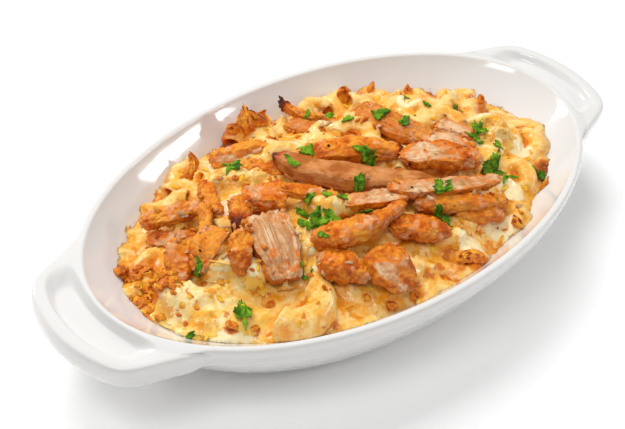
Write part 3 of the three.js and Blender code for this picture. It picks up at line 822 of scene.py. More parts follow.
def elbowPlaces():
    random.seed(spreadPlan["seed"])
    places = list(plainElbows)
    tries = 0
    while len(places) < spreadPlan["count"] and tries < 6000:
        tries += 1
        reach = spreadPlan["reach"] * math.sqrt(random.random())
        angle = 2 * math.pi * random.random()
        heading, tilt, size = 360 * random.random(), random.uniform(-38, 38), random.uniform(0.85, 1.1)
        lift = random.uniform(-0.6, 1.6)
        x = 108 * reach * math.cos(angle)
        y = 62.5 * reach * math.sin(angle)
        if all(math.hypot(x - p[0], y - p[1]) > spreadPlan["spacing"] for p in places):
            places.append((x, y, heading, tilt, size, lift))
    bigX, bigY = places[0][:2]
    clear = spreadPlan["roundBigOne"]
    return [places[0], *(p for p in places[1:] if math.hypot(p[0] - bigX, p[1] - bigY) > clear)]


def vertexNeighbours(piece):
    edges = np.empty(len(piece.data.edges) * 2, dtype=np.int64)
    piece.data.edges.foreach_get("vertices", edges)
    return edges.reshape(-1, 2)


def relaxed(values, edges, rounds):
    # Averages each value with its neighbours' a number of times
    count = len(values)
    degree = np.bincount(edges.ravel(), minlength=count).astype(float)
    flat = values.reshape(count, -1).astype(float)
    for _ in range(rounds):
        total = np.zeros_like(flat)
        for k in range(flat.shape[1]):
            total[:, k] += np.bincount(edges[:, 0], weights=flat[edges[:, 1], k], minlength=count)
            total[:, k] += np.bincount(edges[:, 1], weights=flat[edges[:, 0], k], minlength=count)
        flat = 0.5 * flat + 0.5 * total / np.maximum(degree, 1)[:, None]
    return flat.reshape(values.shape)


# Where melted cheese lies thick over the noodles: x, y, reach
thickCheese = [
    (-42, -24, 11), (-66, -13, 10), (-84, -26, 14), (-76, -16, 12), (8, 31, 16), (-37, 29, 13), (70, -10, 12),
    (-30, -12, 14), (40, -50, 10), (20, -52, 8), (60, -38, 8), (78, -8, 8), (-96, -8, 9), (-100, -14, 8),
    (-30, 44, 7), (62, 26, 7), (84, -22, 7), (5, 28, 10), (13, 21, 9), (-38, 23, 9), (-47, 17, 10), (-44, -21, 9),
]
# Where the top is browned: x, y, reach, strength
brownedPlaces = [
    (15, -60, 8, 0.9), (8, -57, 7, 0.6), (-16, -58, 6, 0.6), (-27, -55, 6, 0.5), (1, -59, 6, 0.5), (85, -38, 9, 1.0),
    (-99, 21, 8, 1.0), (-90, 14, 9, 0.6), (-96, 2, 9, 0.7), (-102, -3, 7, 0.7), (-84, 6, 8, 0.5), (-80, -7, 4, 0.8),
    (-84, -28, 4.5, 1.0), (-77, -33, 3.5, 0.8), (-101, -2, 4, 0.8), (-66, -29, 3.5, 0.7), (-97, -13, 3, 0.7),
    (96, 15, 7, 0.7), (94, 9, 6, 0.6), (84, -3, 4, 0.5), (60, 4, 4, 0.5), (-2, 55, 9, 0.9), (-14, 59, 7, 0.9),
    (53, 50, 7, 0.8), (76, 41, 6, 0.8), (88, 33, 6, 0.8), (-40, 49, 8, 0.4), (-60, 46, 8, 0.4), (30, 55, 7, 0.5),
    (65, -50, 8, 0.5), (100, 0, 7, 0.4), (-70, -47, 8, 0.4), (30, -56, 7, 0.5),
]


def maskFromPlaces(points, places):
    x, y = points[:, 0] / mm, points[:, 1] / mm
    mask = np.zeros(len(points))
    for place in places:
        strength = place[3] if len(place) > 3 else 1.0
        far = np.hypot(x - place[0], y - place[1]) / place[2]
        mask = np.maximum(mask, strength * (1 - smoothStep(0.35, 1.15, far)))
    return mask


heapPlan = {
    "pressedDown": 7.5,
    "edgeDown": 4.6,
    "voxel": 0.95,
    "softRounds": 2,
    "thickRounds": 26,
    "thickRise": 0.8,
    "thickShare": 0.85,
    "lumps": [(5.5, 3.0, 3, 0.55), (1.7, 8.0, 2, 0.16)],  # size, seed, octaves, height
    "climb": 1.3,
    "climbReach": 2.6,
    "fullFrom": 31.5,
    "fullFromNear": 3.5,
    "cutAbove": 1.5,
    "steps": (15, 9.8, 6.3),
    "clear": 0.3,
    "edgeToast": 0.42,
}


def drawUnderside(heap):
    # The flat underside becomes one face, which is drawn down to the floor of the dish
    plan = heapPlan
    pick(heap)
    bpy.ops.object.mode_set(mode="EDIT")
    bpy.ops.mesh.select_all(action="SELECT")
    cut = (moundPlan["bottom"] + plan["cutAbove"]) * mm
    bpy.ops.mesh.bisect(plane_co=(0, 0, cut), plane_no=(0, 0, 1), clear_inner=True, use_fill=True)
    bpy.ops.object.mode_set(mode="OBJECT")
    deep = getPoints(heap)[:, 2] < cut + 0.01 * mm
    for face in heap.data.polygons:
        face.select = all(deep[v] for v in face.vertices)
    bpy.ops.object.mode_set(mode="EDIT")
    bpy.ops.mesh.select_mode(type="FACE")
    zNow, reachNow = cut / mm, float(wallReach(cut / mm))
    for z in plan["steps"]:
        reach = float(wallReach(z)) - plan["clear"]
        share = reach / reachNow
        bpy.ops.mesh.extrude_region_move(TRANSFORM_OT_translate={"value": (0, 0, (z - zNow) * mm)})
        bpy.ops.transform.resize(value=(share, share, 1), center_override=(0, 0, z * mm))
        zNow, reachNow = z, reach
    bpy.ops.object.mode_set(mode="OBJECT")


def makeHeap():
    plan = heapPlan
    elbow = makeElbow()
    pieces = [makeCore()]
    for x, y, heading, tilt, size, lift in elbowPlaces():
        turn = Matrix.Rotation(math.radians(heading), 3, "Z") @ Matrix.Rotation(math.radians(tilt), 3, "X")
        share = math.hypot(x / moundPlan["mouthHalfLength"], y / moundPlan["mouthHalfWidth"]) / moundPlan["edgeShare"]
        pressed = max(1 - math.hypot(x - p[0], y - p[1]) / p[2] for p in chickenSpots)
        z = float(moundHeight(x, y)) + lift - plan["edgeDown"] * float(smoothStep(0.68, 0.96, share))
        z -= plan["pressedDown"] * float(smoothStep(0.0, 0.45, pressed))
        pieces.append(copyMesh(elbow, (x * mm, y * mm, z * mm), turn, size))
    bpy.data.objects.remove(elbow)
    heap = joinPieces(pieces, "macaroniHeap")
    setPoints(heap, keepInside(getPoints(heap), moundPlan["wallGap"]))
    modify(heap, "REMESH", mode="VOXEL", voxel_size=plan["voxel"] * mm, adaptivity=0)
    print("heap remeshed:", len(heap.data.vertices))

    # Smoothed a little everywhere, and much under the thick cheese, but held at the wall
    points = getPoints(heap)
    edges = vertexNeighbours(heap)
    melt = maskFromPlaces(points, thickCheese)
    softer = relaxed(points, edges, plan["softRounds"])
    thick = relaxed(points, edges, plan["thickRounds"])
    thick[:, 2] += plan["thickRise"] * mm
    shaped = softer + (thick - softer) * melt[:, None] * plan["thickShare"]
    fromWall = wallReach(points[:, 2] / mm) - mouthReach(points)
    held = 1 - smoothStep(1.0, 4.0, fromWall)
    shaped[:, :2] += (points - shaped)[:, :2] * held[:, None]
    points = shaped
    setPoints(heap, points)

    # Lumps on top, an edge that climbs the wall and sauce that fills the gap below it
    lumps = sum(noiseAt(points, size * mm, seed, octaves) * high * mm for size, seed, octaves, high in plan["lumps"])
    top = smoothStep(-0.1, 0.4, getNormals(heap)[:, 2]) * smoothStep(24 * mm, 27 * mm, points[:, 2])
    points = points + getNormals(heap) * (lumps * top)[:, None]
    reach = mouthReach(points)
    fromWall = np.maximum(wallReach(points[:, 2] / mm) - reach, 0)
    climb = np.maximum(1 - fromWall / plan["climbReach"], 0) ** 2 * smoothStep(26 * mm, 28 * mm, points[:, 2])
    points[:, 2] += climb * plan["climb"] * mm
    topEnd = plan["fullFrom"] + plan["fullFromNear"] * smoothStep(5, 25, -points[:, 1] / mm)
    drag = (1 - smoothStep(1.6, 5.0, fromWall)) * (1 - smoothStep(0.0, 2.5, points[:, 2] / mm - topEnd))
    limit = wallReach(points[:, 2] / mm) - moundPlan["wallGap"]
    points[:, :2] *= (1 + drag * (limit / np.maximum(reach, 1) - 1))[:, None]
    points = keepInside(points, moundPlan["wallGap"])
    setPoints(heap, points)

    drawUnderside(heap)

    # Masks for the colours, among them painted shade in the hollows and painted light on the ridges
    points = getPoints(heap)
    edges = vertexNeighbours(heap)
    normals = getNormals(heap)
    depth = np.einsum("ij,ij->i", relaxed(points, edges, 14) - points, normals) / mm
    broad = np.einsum("ij,ij->i", relaxed(points, edges, 60) - points, normals) / mm
    # Painted shade: a mask that is high in the hollows between the noodles
    setMask(heap, "paintedHollowShade", smoothStep(0.15, 1.1, depth + 0.35 * broad))
    # Painted light: a mask that is high on the ridges of the noodles
    setMask(heap, "ridge", smoothStep(0.1, 1.2, -depth - 0.25 * broad))
    setMask(heap, "melt", maskFromPlaces(points, thickCheese))
    nearWall = 1 - smoothStep(0.4, 3.4, wallReach(points[:, 2] / mm) - mouthReach(points))
    setMask(heap, "toast", np.maximum(maskFromPlaces(points, brownedPlaces), plan["edgeToast"] * nearWall))
    return finishPiece(heap, saucedPasta, "cheese_sauce", "macaroni_heap")


macaroniHeap = makeHeap()
print("heap made")


def surfaceOf(*pieces):
    # One search tree over the surfaces of several pieces
    points, faces = [], []
    for piece in pieces:
        start = len(points)
        points.extend(Vector(p) for p in getPoints(piece))
        faces.extend([start + v for v in face.vertices] for face in piece.data.polygons)
    return BVHTree.FromPolygons(points, faces)


def heightOn(tree, x, y):
    hit = tree.ray_cast(Vector((x, y, 80 * mm)), Vector((0, 0, -1)))
    return hit[0].z if hit[0] is not None else None


def heightsOn(tree, xs, ys):
    return np.array([heightOn(tree, x, y) or 30 * mm for x, y in zip(xs, ys)])


# Pools of melted cheese, draped over the noodles

meltPlan = [
    # node, x, y, half length, half width, turn
    ("melted_cheese_far", 8, 31, 22, 9, -50),
    ("melted_cheese_left", -37, 29, 17, 9, -40),
    ("melted_cheese_middle", -33, -13, 22, 10, 55),
    ("melted_cheese_near", -85, -15.5, 23, 17, -30),
    ("melted_cheese_right", 74, -11, 15, 9, -30),
]
poolPlan = {"columns": 84, "rows": 64, "rise": 1.1, "edgeDown": 0.9, "lump": 0.9, "fine": 0.3, "skin": 1.6, "gap": 0.6}


def makeMeltPool(tree, node, x, y, halfLength, halfWidth, turn):
    plan = poolPlan
    bpy.ops.mesh.primitive_grid_add(x_subdivisions=plan["columns"], y_subdivisions=plan["rows"], size=2)
    pool = pick(bpy.context.object)
    pool.name = node.replace("melted_cheese", "meltedCheese").replace("_", "")
    points = getPoints(pool)
    du, dv = discFromSquare(points)
    angle = np.arctan2(dv, du)
    reach = np.hypot(du, dv)
    wave = 1 + 0.12 * np.sin(3 * angle + x) + 0.09 * np.cos(5 * angle + y) + 0.05 * np.sin(11 * angle + 2 * x)
    along, across = halfLength * wave * du, halfWidth * wave * dv
    px, py = laidOut(x, y, along, across, math.radians(turn))
    heights = heightsOn(tree, px, py)
    points = np.stack([px, py, heights], axis=1)
    edges = vertexNeighbours(pool)
    soft = relaxed(points, edges, 5)[:, 2]
    soft = np.maximum(soft, heights - 0.3 * mm)
    soft = relaxed(soft, edges, 3)
    rise = plan["rise"] * (1 - reach ** 4) - plan["edgeDown"] * reach ** 6
    lumps = noiseAt(points, 5 * mm, x, 3) * plan["lump"] + noiseAt(points, 1.8 * mm, y, 2) * plan["fine"]
    points[:, 2] = soft + (rise + lumps * (1 - reach ** 4)) * mm
    setPoints(pool, keepInside(points, plan["gap"]))
    setMask(pool, "edge", reach ** 3)
    modify(pool, "SOLIDIFY", thickness=plan["skin"] * mm, offset=-1)
    fixNormals(pool)
    return finishPiece(pool, meltedCheese, "melted_cheese", node)


heapTree = surfaceOf(macaroniHeap)
meltPools = [makeMeltPool(heapTree, *row) for row in meltPlan]
print("melted cheese made")


# Chicken: each piece is a ball drawn out along a bent spine, cut flat where it was torn, then roughened

chickenPlan = {
    "rings": 84,
    "sides": 76,
    "lump": 0.6,
    "fine": 0.34,
    "crease": 2.6,
    "fibre": 0.26,
    "stringyFrom": 0.7,
    "blunt": 2.9,
    "square": 3.4,
    "taper": 0.12,
    "swell": 0.13,
    "cuts": [],
    "tornCuts": 2,
    "pressed": 0.93,
    "soft": 2.5,
    "fray": 0.8,
    "patch": 0.6,
    "charReach": 2.2,
    "brown": 0.0,
}

# What a row here gives, such as blunt, fray or fibre, stands in for the plan's own value. A cut is (side
# angle, depth as a share of the half size, slope along); 90 degrees faces up, 0 to the right of the spine's
# direction and 180 to its left
chickenPieces = [
    {"node": "chicken_far_shred", "path": [(21, 37, 40), (23, 27, 42), (25, 18, 43)], "width": 8, "thick": 5},
    {"node": "chicken_far_slice", "path": [(9, 46, 38), (11, 37, 41), (12, 29, 43)], "width": 10, "thick": 6,
     "brown": 0.5, "cuts": [(90, 0.55, 0)]},
    {"node": "chicken_side_chunk", "path": [(-27, 36, 39), (-21, 28, 41), (-19, 19, 42)], "width": 8, "thick": 6},
    {"node": "chicken_left_bend", "path": [(-45, 36, 39), (-52, 25, 42), (-55, 15, 43)], "width": 8, "thick": 7},
    {"node": "chicken_left_under", "path": [(-80, 27, 35), (-75, 19, 37), (-68, 12, 40)], "width": 9, "thick": 6,
     "cuts": [(60, 0.3, 0)]},
    {"node": "chicken_right_chunk", "path": [(24, -38, 40), (34, -43, 38), (44, -47, 36)], "width": 11, "thick": 7},
    {"node": "chicken_near_slab", "path": [(-6, -31, 44), (3, -38, 43), (14, -44, 40)], "width": 12, "thick": 8,
     "cuts": [(125, 0.75, 0)]},
    {"node": "chicken_left_square", "path": [(-75, 13, 41), (-82, 6, 39), (-87, -1, 37)], "width": 12, "thick": 7},
    {"node": "chicken_far_pale", "path": [(58, 5, 42), (62, -3, 43), (65, -11, 42)], "width": 10, "thick": 7,
     "cuts": [(90, 0.2, 0), (20, 0.5, 0)]},
    {"node": "chicken_near_round", "path": [(-43, -30, 43), (-36, -36, 43), (-29, -43, 39)], "width": 14, "thick": 10,
     "blunt": 3},
    {"node": "chicken_near_curl", "path": [(-22, -38, 42), (-21, -46, 42), (-20, -54, 37)], "width": 18, "thick": 11,
     "cuts": [(70, 0.55, -0.3)], "fray": 1.4},
    {"node": "chicken_upper_strip", "path": [(-32, 48, 37), (-21, 40, 41), (-6, 37, 42)], "width": 10, "thick": 8,
     "cuts": [(40, 0.5, 0.5)], "charEnd": 0.03},
    {"node": "chicken_far_curl", "path": [(15, 57, 41), (16, 48, 40), (20, 39, 42)], "width": 5, "thick": 5,
     "charStart": 0.16, "fray": 2.6},
    {"node": "chicken_left_strip", "path": [(-79, 33, 38), (-70, 26, 42), (-59, 21, 44)], "width": 8, "thick": 7,
     "cuts": [(60, 0.7, 0)]},
    {"node": "chicken_far_fold", "path": [(41, 0, 46), (49, -8, 46), (57, -19, 43)], "width": 10, "thick": 8,
     "cuts": [(95, 0.35, 0)]},
    {"node": "chicken_right_under", "path": [(11, -28, 45), (26, -37, 43), (49, -44, 38)], "width": 10, "thick": 7.5},
    {"node": "chicken_far_wedge", "path": [(38, 32, 43), (39, 13, 46), (44, -4, 46)], "width": 11, "thick": 11,
     "cuts": [(60, 0.25, 0), (160, 0.62, 0)], "tornCuts": 0, "blunt": 3.4, "brown": 0.4},
    {"node": "chicken_left_crumb", "path": [(-44, 14, 46), (-37, 8, 47), (-32, 3, 46)], "width": 14, "thick": 9,
     "cuts": [(100, 0.45, 0)], "blunt": 3},
    {"node": "chicken_left_fold", "path": [(-63, 4, 45), (-71, 1, 44), (-80, -3, 40)], "width": 14, "thick": 8,
     "cuts": [(200, 0.35, 0)]},
    {"node": "chicken_mid_strip", "path": [(-10, 19, 47), (9, 9, 49), (28, -3, 47)], "width": 12, "thick": 8.5,
     "cuts": [(60, 0.7, 0)], "charEnd": 0.05},
    {"node": "chicken_mid_left", "path": [(-34, 15, 46), (-25, 2, 48), (-15, -11, 48)], "width": 8, "thick": 6,
     "cuts": [(90, 0.6, 0)]},
    {"node": "chicken_mid_pale", "path": [(-17, -13, 49), (-4, -19, 49), (11, -24, 47)], "width": 9, "thick": 7,
     "cuts": [(90, 0.2, 0)]},
    {"node": "chicken_dark_end", "path": [(-48, 13, 48), (-52, 6, 48), (-58, 0, 45)], "width": 9, "thick": 7,
     "charEnd": 0.3},
    {"node": "chicken_left_narrow", "path": [(-58, 20, 45), (-64, 13, 46), (-71, 6, 44)], "width": 6, "thick": 6},
    {"node": "chicken_right_strip", "path": [(5, -18, 49), (23, -29, 48), (53, -36, 42)], "width": 9.5, "thick": 8,
     "cuts": [(90, 0.3, 0)]},
    {"node": "chicken_wedge_edge", "path": [(-60, -3, 49), (-65, -10, 47), (-70, -15, 42)], "width": 10, "thick": 8,
     "cuts": [(200, 0.5, 0)]},
    {"node": "chicken_long", "path": [(-17, 26, 47), (-6, -1, 49), (26, -22, 46)], "width": 12.5, "thick": 9,
     "cuts": [(130, 0.8, 0)], "tornCuts": 0, "blunt": 2.3, "fibre": 0.4, "brown": 1.0, "charStart": 0.06, "lump": 0.25},
    {"node": "chicken_far_lobe", "path": [(22, -8, 50), (37, -16, 49), (52, -25, 45)], "width": 13, "thick": 10.5,
     "cuts": [(80, 0.5, 0.5)]},
    {"node": "chicken_near_wedge", "path": [(-38, -20, 47), (-24, -29, 49), (4, -28, 49)], "width": 13, "thick": 11,
     "cuts": [(250, 0.7, 0)], "tornCuts": 0, "taper": 0.4, "blunt": 2.4},
    {"node": "chicken_big_wedge", "path": [(-48, -2, 49), (-52, -13, 48), (-57, -27, 41)], "width": 19, "thick": 11,
     "cuts": [(90, 0.35, 0.1), (20, 0.8, 0)], "tornCuts": 1, "fibre": 0.8, "blunt": 6, "soft": 0.6},
]


def spineAt(path, along):
    # A bent line through three places, with its direction at each share of its length
    start, middle, end = (np.array(place, dtype=float) for place in path)
    handle = 2 * middle - (start + end) / 2
    t = along[:, None]
    places = (1 - t) ** 2 * start + 2 * t * (1 - t) * handle + t ** 2 * end
    ahead = 2 * (1 - t) * (handle - start) + 2 * t * (end - handle)
    return places, ahead / np.linalg.norm(ahead, axis=1)[:, None]


def makeChickenPiece(row):
    spec = {**chickenPlan, **row}
    width, thick, path = spec["width"], spec["thick"], spec["path"]
    seed = path[0][0] * 0.31 + path[0][1] * 0.17
    bpy.ops.mesh.primitive_uv_sphere_add(segments=spec["sides"], ring_count=spec["rings"], radius=1)
    strip = pick(bpy.context.object)
    strip.name = joinWords(spec["node"])
    strip.data.name = strip.name
    strip.data.uv_layers[0].name = "grain"
    ball = getPoints(strip)
    polar = np.arccos(np.clip(ball[:, 2], -1, 1))
    angle = np.arctan2(ball[:, 1], ball[:, 0]) + math.pi / 2
    level = np.cos(polar)
    along = 0.5 - 0.5 * np.sign(level) * np.abs(level) ** (2 / spec["blunt"])
    girth = np.abs(np.sin(polar)) ** (2 / spec["blunt"])
    corner = spec["square"]
    square = (np.abs(np.cos(angle)) ** corner + np.abs(np.sin(angle)) ** corner) ** (-1 / corner)
    places, ahead = spineAt(path, along)
    length = float(np.linalg.norm(np.array(path[2]) - np.array(path[0])))

    # Section, in millimetres across and above the spine
    swell = 1 + 0.1 * np.sin(9 * along + seed) * np.cos(5 * along - seed) - spec["taper"] * along
    flow = np.stack([along * length / 11, np.cos(angle), np.sin(angle)], axis=1)
    swell = swell + spec["swell"] * noiseAt(flow, 1.0, seed, 2)
    across = np.cos(angle) * square * girth * swell * width / 2
    above = np.sin(angle) * square * girth * swell * thick / 2
    torn = 0.55 * (1 - smoothStep(0.3, 0.8, girth))
    for number, (facing, share, slope) in enumerate(spec["cuts"]):
        c, s = math.cos(math.radians(facing)), math.sin(math.radians(facing))
        half = abs(c) * width / 2 + abs(s) * thick / 2
        edge = half * (share + slope * (along - 0.5))
        over = across * c + above * s - edge
        push = np.maximum(over, 0) * spec["pressed"]
        across = across - push * c
        above = above - push * s
        if number < spec["tornCuts"]:
            torn = np.maximum(torn, smoothStep(0.0, spec["soft"], over))
    side = np.cross(ahead, [0, 0, 1])
    side /= np.linalg.norm(side, axis=1)[:, None]
    up = np.cross(side, ahead)
    points = places + side * across[:, None] + up * above[:, None]
    outward = side * np.cos(angle)[:, None] + up * np.sin(angle)[:, None]

    # Torn ends run out in strands, and torn faces are grooved along the grain
    section = np.stack([across / 1.3, above / 1.3, np.full(len(along), seed)], axis=1)
    ends = (1 - smoothStep(0.0, 0.16, along)) - smoothStep(0.84, 1.0, along)
    strands = noiseAt(section, 1.0, seed, 2)
    points -= ahead * (ends * (0.4 + strands) * spec["fray"] * 1.4)[:, None]
    around = np.stack([along * length / 9, across / 0.95, above / 0.95], axis=1)
    grooves = noiseAt(around, 1.0, seed + 4, 2)
    lump = spec["lump"]
    uneven = lump / chickenPlan["lump"]
    rough = lump * noiseAt(points, 5.5, seed, 3) + spec["fine"] * noiseAt(points, 1.4, seed, 2) * uneven
    creases = np.abs(noiseAt(points, 3.4, seed + 2, 2))
    rough = rough - spec["crease"] * (0.25 - np.minimum(creases, 0.25)) * uneven * (1 - 0.6 * torn)
    rough = rough + grooves * spec["fibre"] * (0.3 + torn)
    points += outward * (rough * np.minimum(1, girth * 1.5))[:, None]
    setPoints(strip, points * mm)
    fixNormals(strip)

    patch = noiseAt(points, 7.0, seed + 9, 2)
    torn = np.clip(torn * 0.85 + spec["patch"] * smoothStep(0.1, 0.45, patch), 0, 1)
    char = np.zeros(len(along))
    if "charStart" in spec:
        char = np.maximum(char, 1 - smoothStep(0, spec["charStart"] * spec["charReach"], along))
    if "charEnd" in spec:
        char = np.maximum(char, smoothStep(1 - spec["charEnd"] * spec["charReach"], 1, along))
    stringy = 1.0 if spec["fibre"] > spec["stringyFrom"] else 0.3
    setMask(strip, "torn", torn)
    setMask(strip, "strand", stringy * (0.2 + 0.8 * torn))
    setMask(strip, "char", char)
    setMask(strip, "brown", np.full(len(along), spec["brown"]))
    return finishPiece(strip, roastChicken, "roast_chicken", spec["node"])


chicken = [makeChickenPiece(row) for row in chickenPieces]
print("chicken made")


# Crags of browned crust round the edge, and blisters on the melted cheese

crags = [
    # x, y, size, height
    (-8, 54, 10, 12), (-4, 52, 8, 10), (43, 47.5, 9, 10), (-14, 56, 6, 7), (60, 47, 5, 6), (76, 38, 5, 6),
    (88, 29, 5, 5), (94, 11, 5, 5), (-99, 21, 8, 8), (76, -44, 6, 9), (45, -55, 6, 5), (14, -57, 11, 4),
    (-17, -57, 5, 4), (1, 55, 5, 6), (-40, 50, 6, 6), (-37, 53, 5, 7), (-47, 46, 6, 4), (-98, 4, 6, 4),
    (-92, 13, 6, 4), (-27, -55, 5, 3), (30, 55, 4, 4),
]
crustCrumbs = {"count": 60, "seed": 47}
blisters = [
    # x, y, length, width
    (-84, -28, 5.5, 4), (-77, -33, 4, 3), (-80, -7, 3.6, 3), (-101, -2, 4, 3), (-66, -29, 3, 3), (-97, -13, 2.6, 2),
    (-95, -7, 2.2, 3), (-97, -17, 2, 2), (-37, 27, 3, 3), (-94, -1, 2.4, 2), (15, -60, 6, 4), (11, -57, 4, 3),
    (0, -59, 4, 2.4), (-16, -58, 5, 2.4), (-27, -55, 5, 2.4), (84, -3, 2.6, 3), (60, 4, 2.6, 2.4), (-63, -8, 2.6, 2),
]
# Subdivisions, least char and how much its patches add
lumpKinds = {"crag": (5, 0, 1), "crumb": (3, 0, 0.3), "blister": (5, 0.5, 0.3)}


def makeLump(tree, kind, x, y, size, wide, tall, jag, seed):
    detail, charFrom, charShare = lumpKinds[kind]
    bpy.ops.mesh.primitive_ico_sphere_add(subdivisions=detail, radius=1)
    lump = pick(bpy.context.object)
    lump.name = kind
    points = getPoints(lump)
    rough = 1 + jag * noiseAt(points, 0.75, seed, 3) + 0.3 * jag * noiseAt(points, 0.25, seed, 2)
    patch = noiseAt(points, 0.6, seed + 5, 2)
    charred = patch if kind == "blister" else smoothStep(-0.1, 0.5, patch) * smoothStep(-0.2, 0.5, points[:, 2])
    points = points * rough[:, None]
    if tall > 3:
        high = np.clip(points[:, 2] + 0.2, 0, 1.4)
        points[:, :2] *= (1 - 0.38 * high)[:, None]
        points[:, 0] += 0.45 * high ** 2
        points[:, 1] *= 0.7
    px, py = laidOut(x, y, points[:, 0] * size / 2, points[:, 1] * wide / 2, seed * 1.3)
    base = heightOn(tree, x * mm, y * mm) or moundHeight(x, y) * mm
    points = np.stack([px, py, base + points[:, 2] * tall / 2 * mm + 0.15 * tall * mm], axis=1)
    setPoints(lump, keepInside(points, 0.3))
    setMask(lump, "char", charFrom + charShare * charred)
    return lump


cragMeshes = [
    makeLump(heapTree, "crag", x, y, size, size * 0.9, tall, 0.27, number)
    for number, (x, y, size, tall) in enumerate(crags, 1)]
random.seed(crustCrumbs["seed"])
for number in range(crustCrumbs["count"]):
    x, y = random.gauss(-95, 5.0), random.gauss(4, 7)
    size = random.uniform(1.8, 5.0)
    tall = random.uniform(1.2, 2.6)
    cragMeshes.append(makeLump(heapTree, "crumb", x, y, size, size * 0.6, tall, 0.7, number + 80))
finishPiece(joinPieces(cragMeshes, "crustCrags"), brownedCrust, "cheese_sauce")
foodTree = surfaceOf(macaroniHeap, *meltPools)
blisterMeshes = [
    makeLump(foodTree, "blister", x, y, length, width, 1.3, 0.12, number)
    for number, (x, y, length, width) in enumerate(blisters, 40)]
finishPiece(joinPieces(blisterMeshes, "crustBlisters"), brownedCrust, "cheese_sauce")
print("crust made")


# Strings of cheese that run down from the chicken: thick at both ends, thin in the middle

cheeseStrings = [
    # top, foot, thickness in the middle
    ((-71.5, -7, 44.5), (-75, -10.5, 36.5), 2.4),
    ((-62.5, -14.5, 45.5), (-65, -19.5, 37), 2.4),
    ((-68, -12, 43), (-71.5, -16.5, 36.5), 1.6),
    ((-55.5, -24, 43), (-57.5, -28.5, 37), 1.5),
]


stringPlan = {"segments": 28, "rings": 40, "flare": 5.0, "sag": 1.6, "wander": 0.5, "wide": 1.3, "flat": 0.55}


def makeString(top, foot, thick, number):
    plan = stringPlan
    bpy.ops.mesh.primitive_uv_sphere_add(segments=plan["segments"], ring_count=plan["rings"], radius=1)
    string = pick(bpy.context.object)
    ball = getPoints(string)
    along = np.arccos(np.clip(ball[:, 2], -1, 1)) / math.pi
    angle = np.arctan2(ball[:, 1], ball[:, 0])
    start, end = np.array(top), np.array(foot)
    ahead = (end - start) / np.linalg.norm(end - start)
    side = np.cross(ahead, [0, 0, 1])
    side /= np.linalg.norm(side)
    up = np.cross(side, ahead)
    girth = thick / 2 * (1 + plan["flare"] * np.abs(2 * along - 1) ** 2.6) * np.minimum(1, np.sin(math.pi * along) * 4)
    points = start + (end - start) * along[:, None]
    wide, flat = plan["wide"] * np.cos(angle), plan["flat"] * np.sin(angle)
    points += girth[:, None] * (side * wide[:, None] + up * flat[:, None])
    points[:, 2] -= plan["sag"] * np.sin(math.pi * along)
    points += plan["wander"] * noisePush((points + number) / 3.0)
    setPoints(string, points * mm)
    setMask(string, "edge", np.zeros(len(points)))
    return string


stringMeshes = [makeString(top, foot, thick, i) for i, (top, foot, thick) in enumerate(cheeseStrings)]
finishPiece(fixNormals(joinPieces(stringMeshes, "cheeseStrings")), meltedCheese, "melted_cheese")
print("cheese strings made")


# Cheddar shreds, softened by the heat: short bent bars of uneven length

shredPlan = {"count": 170, "seed": 5, "length": 4.6, "width": 1.8, "height": 0.7, "cuts": 2, "crumple": 0.55}
shredSpots = [
    (-90, -10), (-90, -14), (-74, -13), (-66, -23), (-59, -25), (-45, -24), (-42, -48), (-5, -4), (2, -24), (-86, -35),
    (-81, -17), (-67, -46), (-103, 8), (-104, 0), (-102, -15), (13, -50), (0, -49), (36, -55), (78, -27), (93, 18),
    (73, 29), (76, 18), (50, 38), (-46, 50), (-36, 46), (-55, 43), (69, -44), (54, -44), (-3, 48), (-9, 56), (75, -9),
    (24, -47), (-92, 10), (-88, 4), (-84, 10), (-96, 14), (-99, 8), (-90, -2), (-86, 2), (-80, 0),
]


def makeShreds(tree):
    plan = shredPlan
    random.seed(plan["seed"])
    spots = list(shredSpots)
    while len(spots) < plan["count"]:
        reach, angle = 0.9 * math.sqrt(random.random()), 2 * math.pi * random.random()
        spots.append((108 * reach * math.cos(angle), 62 * reach * math.sin(angle)))
    bars = []
    for x, y in spots:
        length = plan["length"] * random.uniform(0.45, 1.1)
        bpy.ops.mesh.primitive_cube_add(size=1)
        bar = pick(bpy.context.object)
        bpy.ops.object.mode_set(mode="EDIT")
        bpy.ops.mesh.select_all(action="SELECT")
        bpy.ops.mesh.subdivide(number_cuts=plan["cuts"])
        bpy.ops.object.mode_set(mode="OBJECT")
        points = getPoints(bar)
        narrowed = 1 - 0.28 * smoothStep(0.2, 0.5, np.abs(points[:, 0]))
        along = points[:, 0] * length
        across = points[:, 1] * plan["width"] * random.uniform(0.7, 1.2) * narrowed
        across += random.uniform(-0.06, 0.06) * along ** 2
        above = points[:, 2] * plan["height"] * narrowed
        px, py = laidOut(x, y, along, across, 2 * math.pi * random.random())
        under = heightsOn(tree, px, py)
        points = np.stack([px, py, 0.6 * under + 0.4 * under.mean() + (above - 0.05) * mm], axis=1)
        points += plan["crumple"] * mm * noisePush(points / (1.5 * mm))
        setPoints(bar, keepInside(points, 0.4))
        bars.append(bar)
    shreds = joinPieces(bars, "cheddarShreds")
    modify(shreds, "SUBSURF", levels=1, render_levels=1)
    return finishPiece(shreds, cheddar, "cheese_sauce")


makeShreds(foodTree)
print("shreds made")


# Parsley: lobed leaves that droop over what they lie on, and small chopped bits

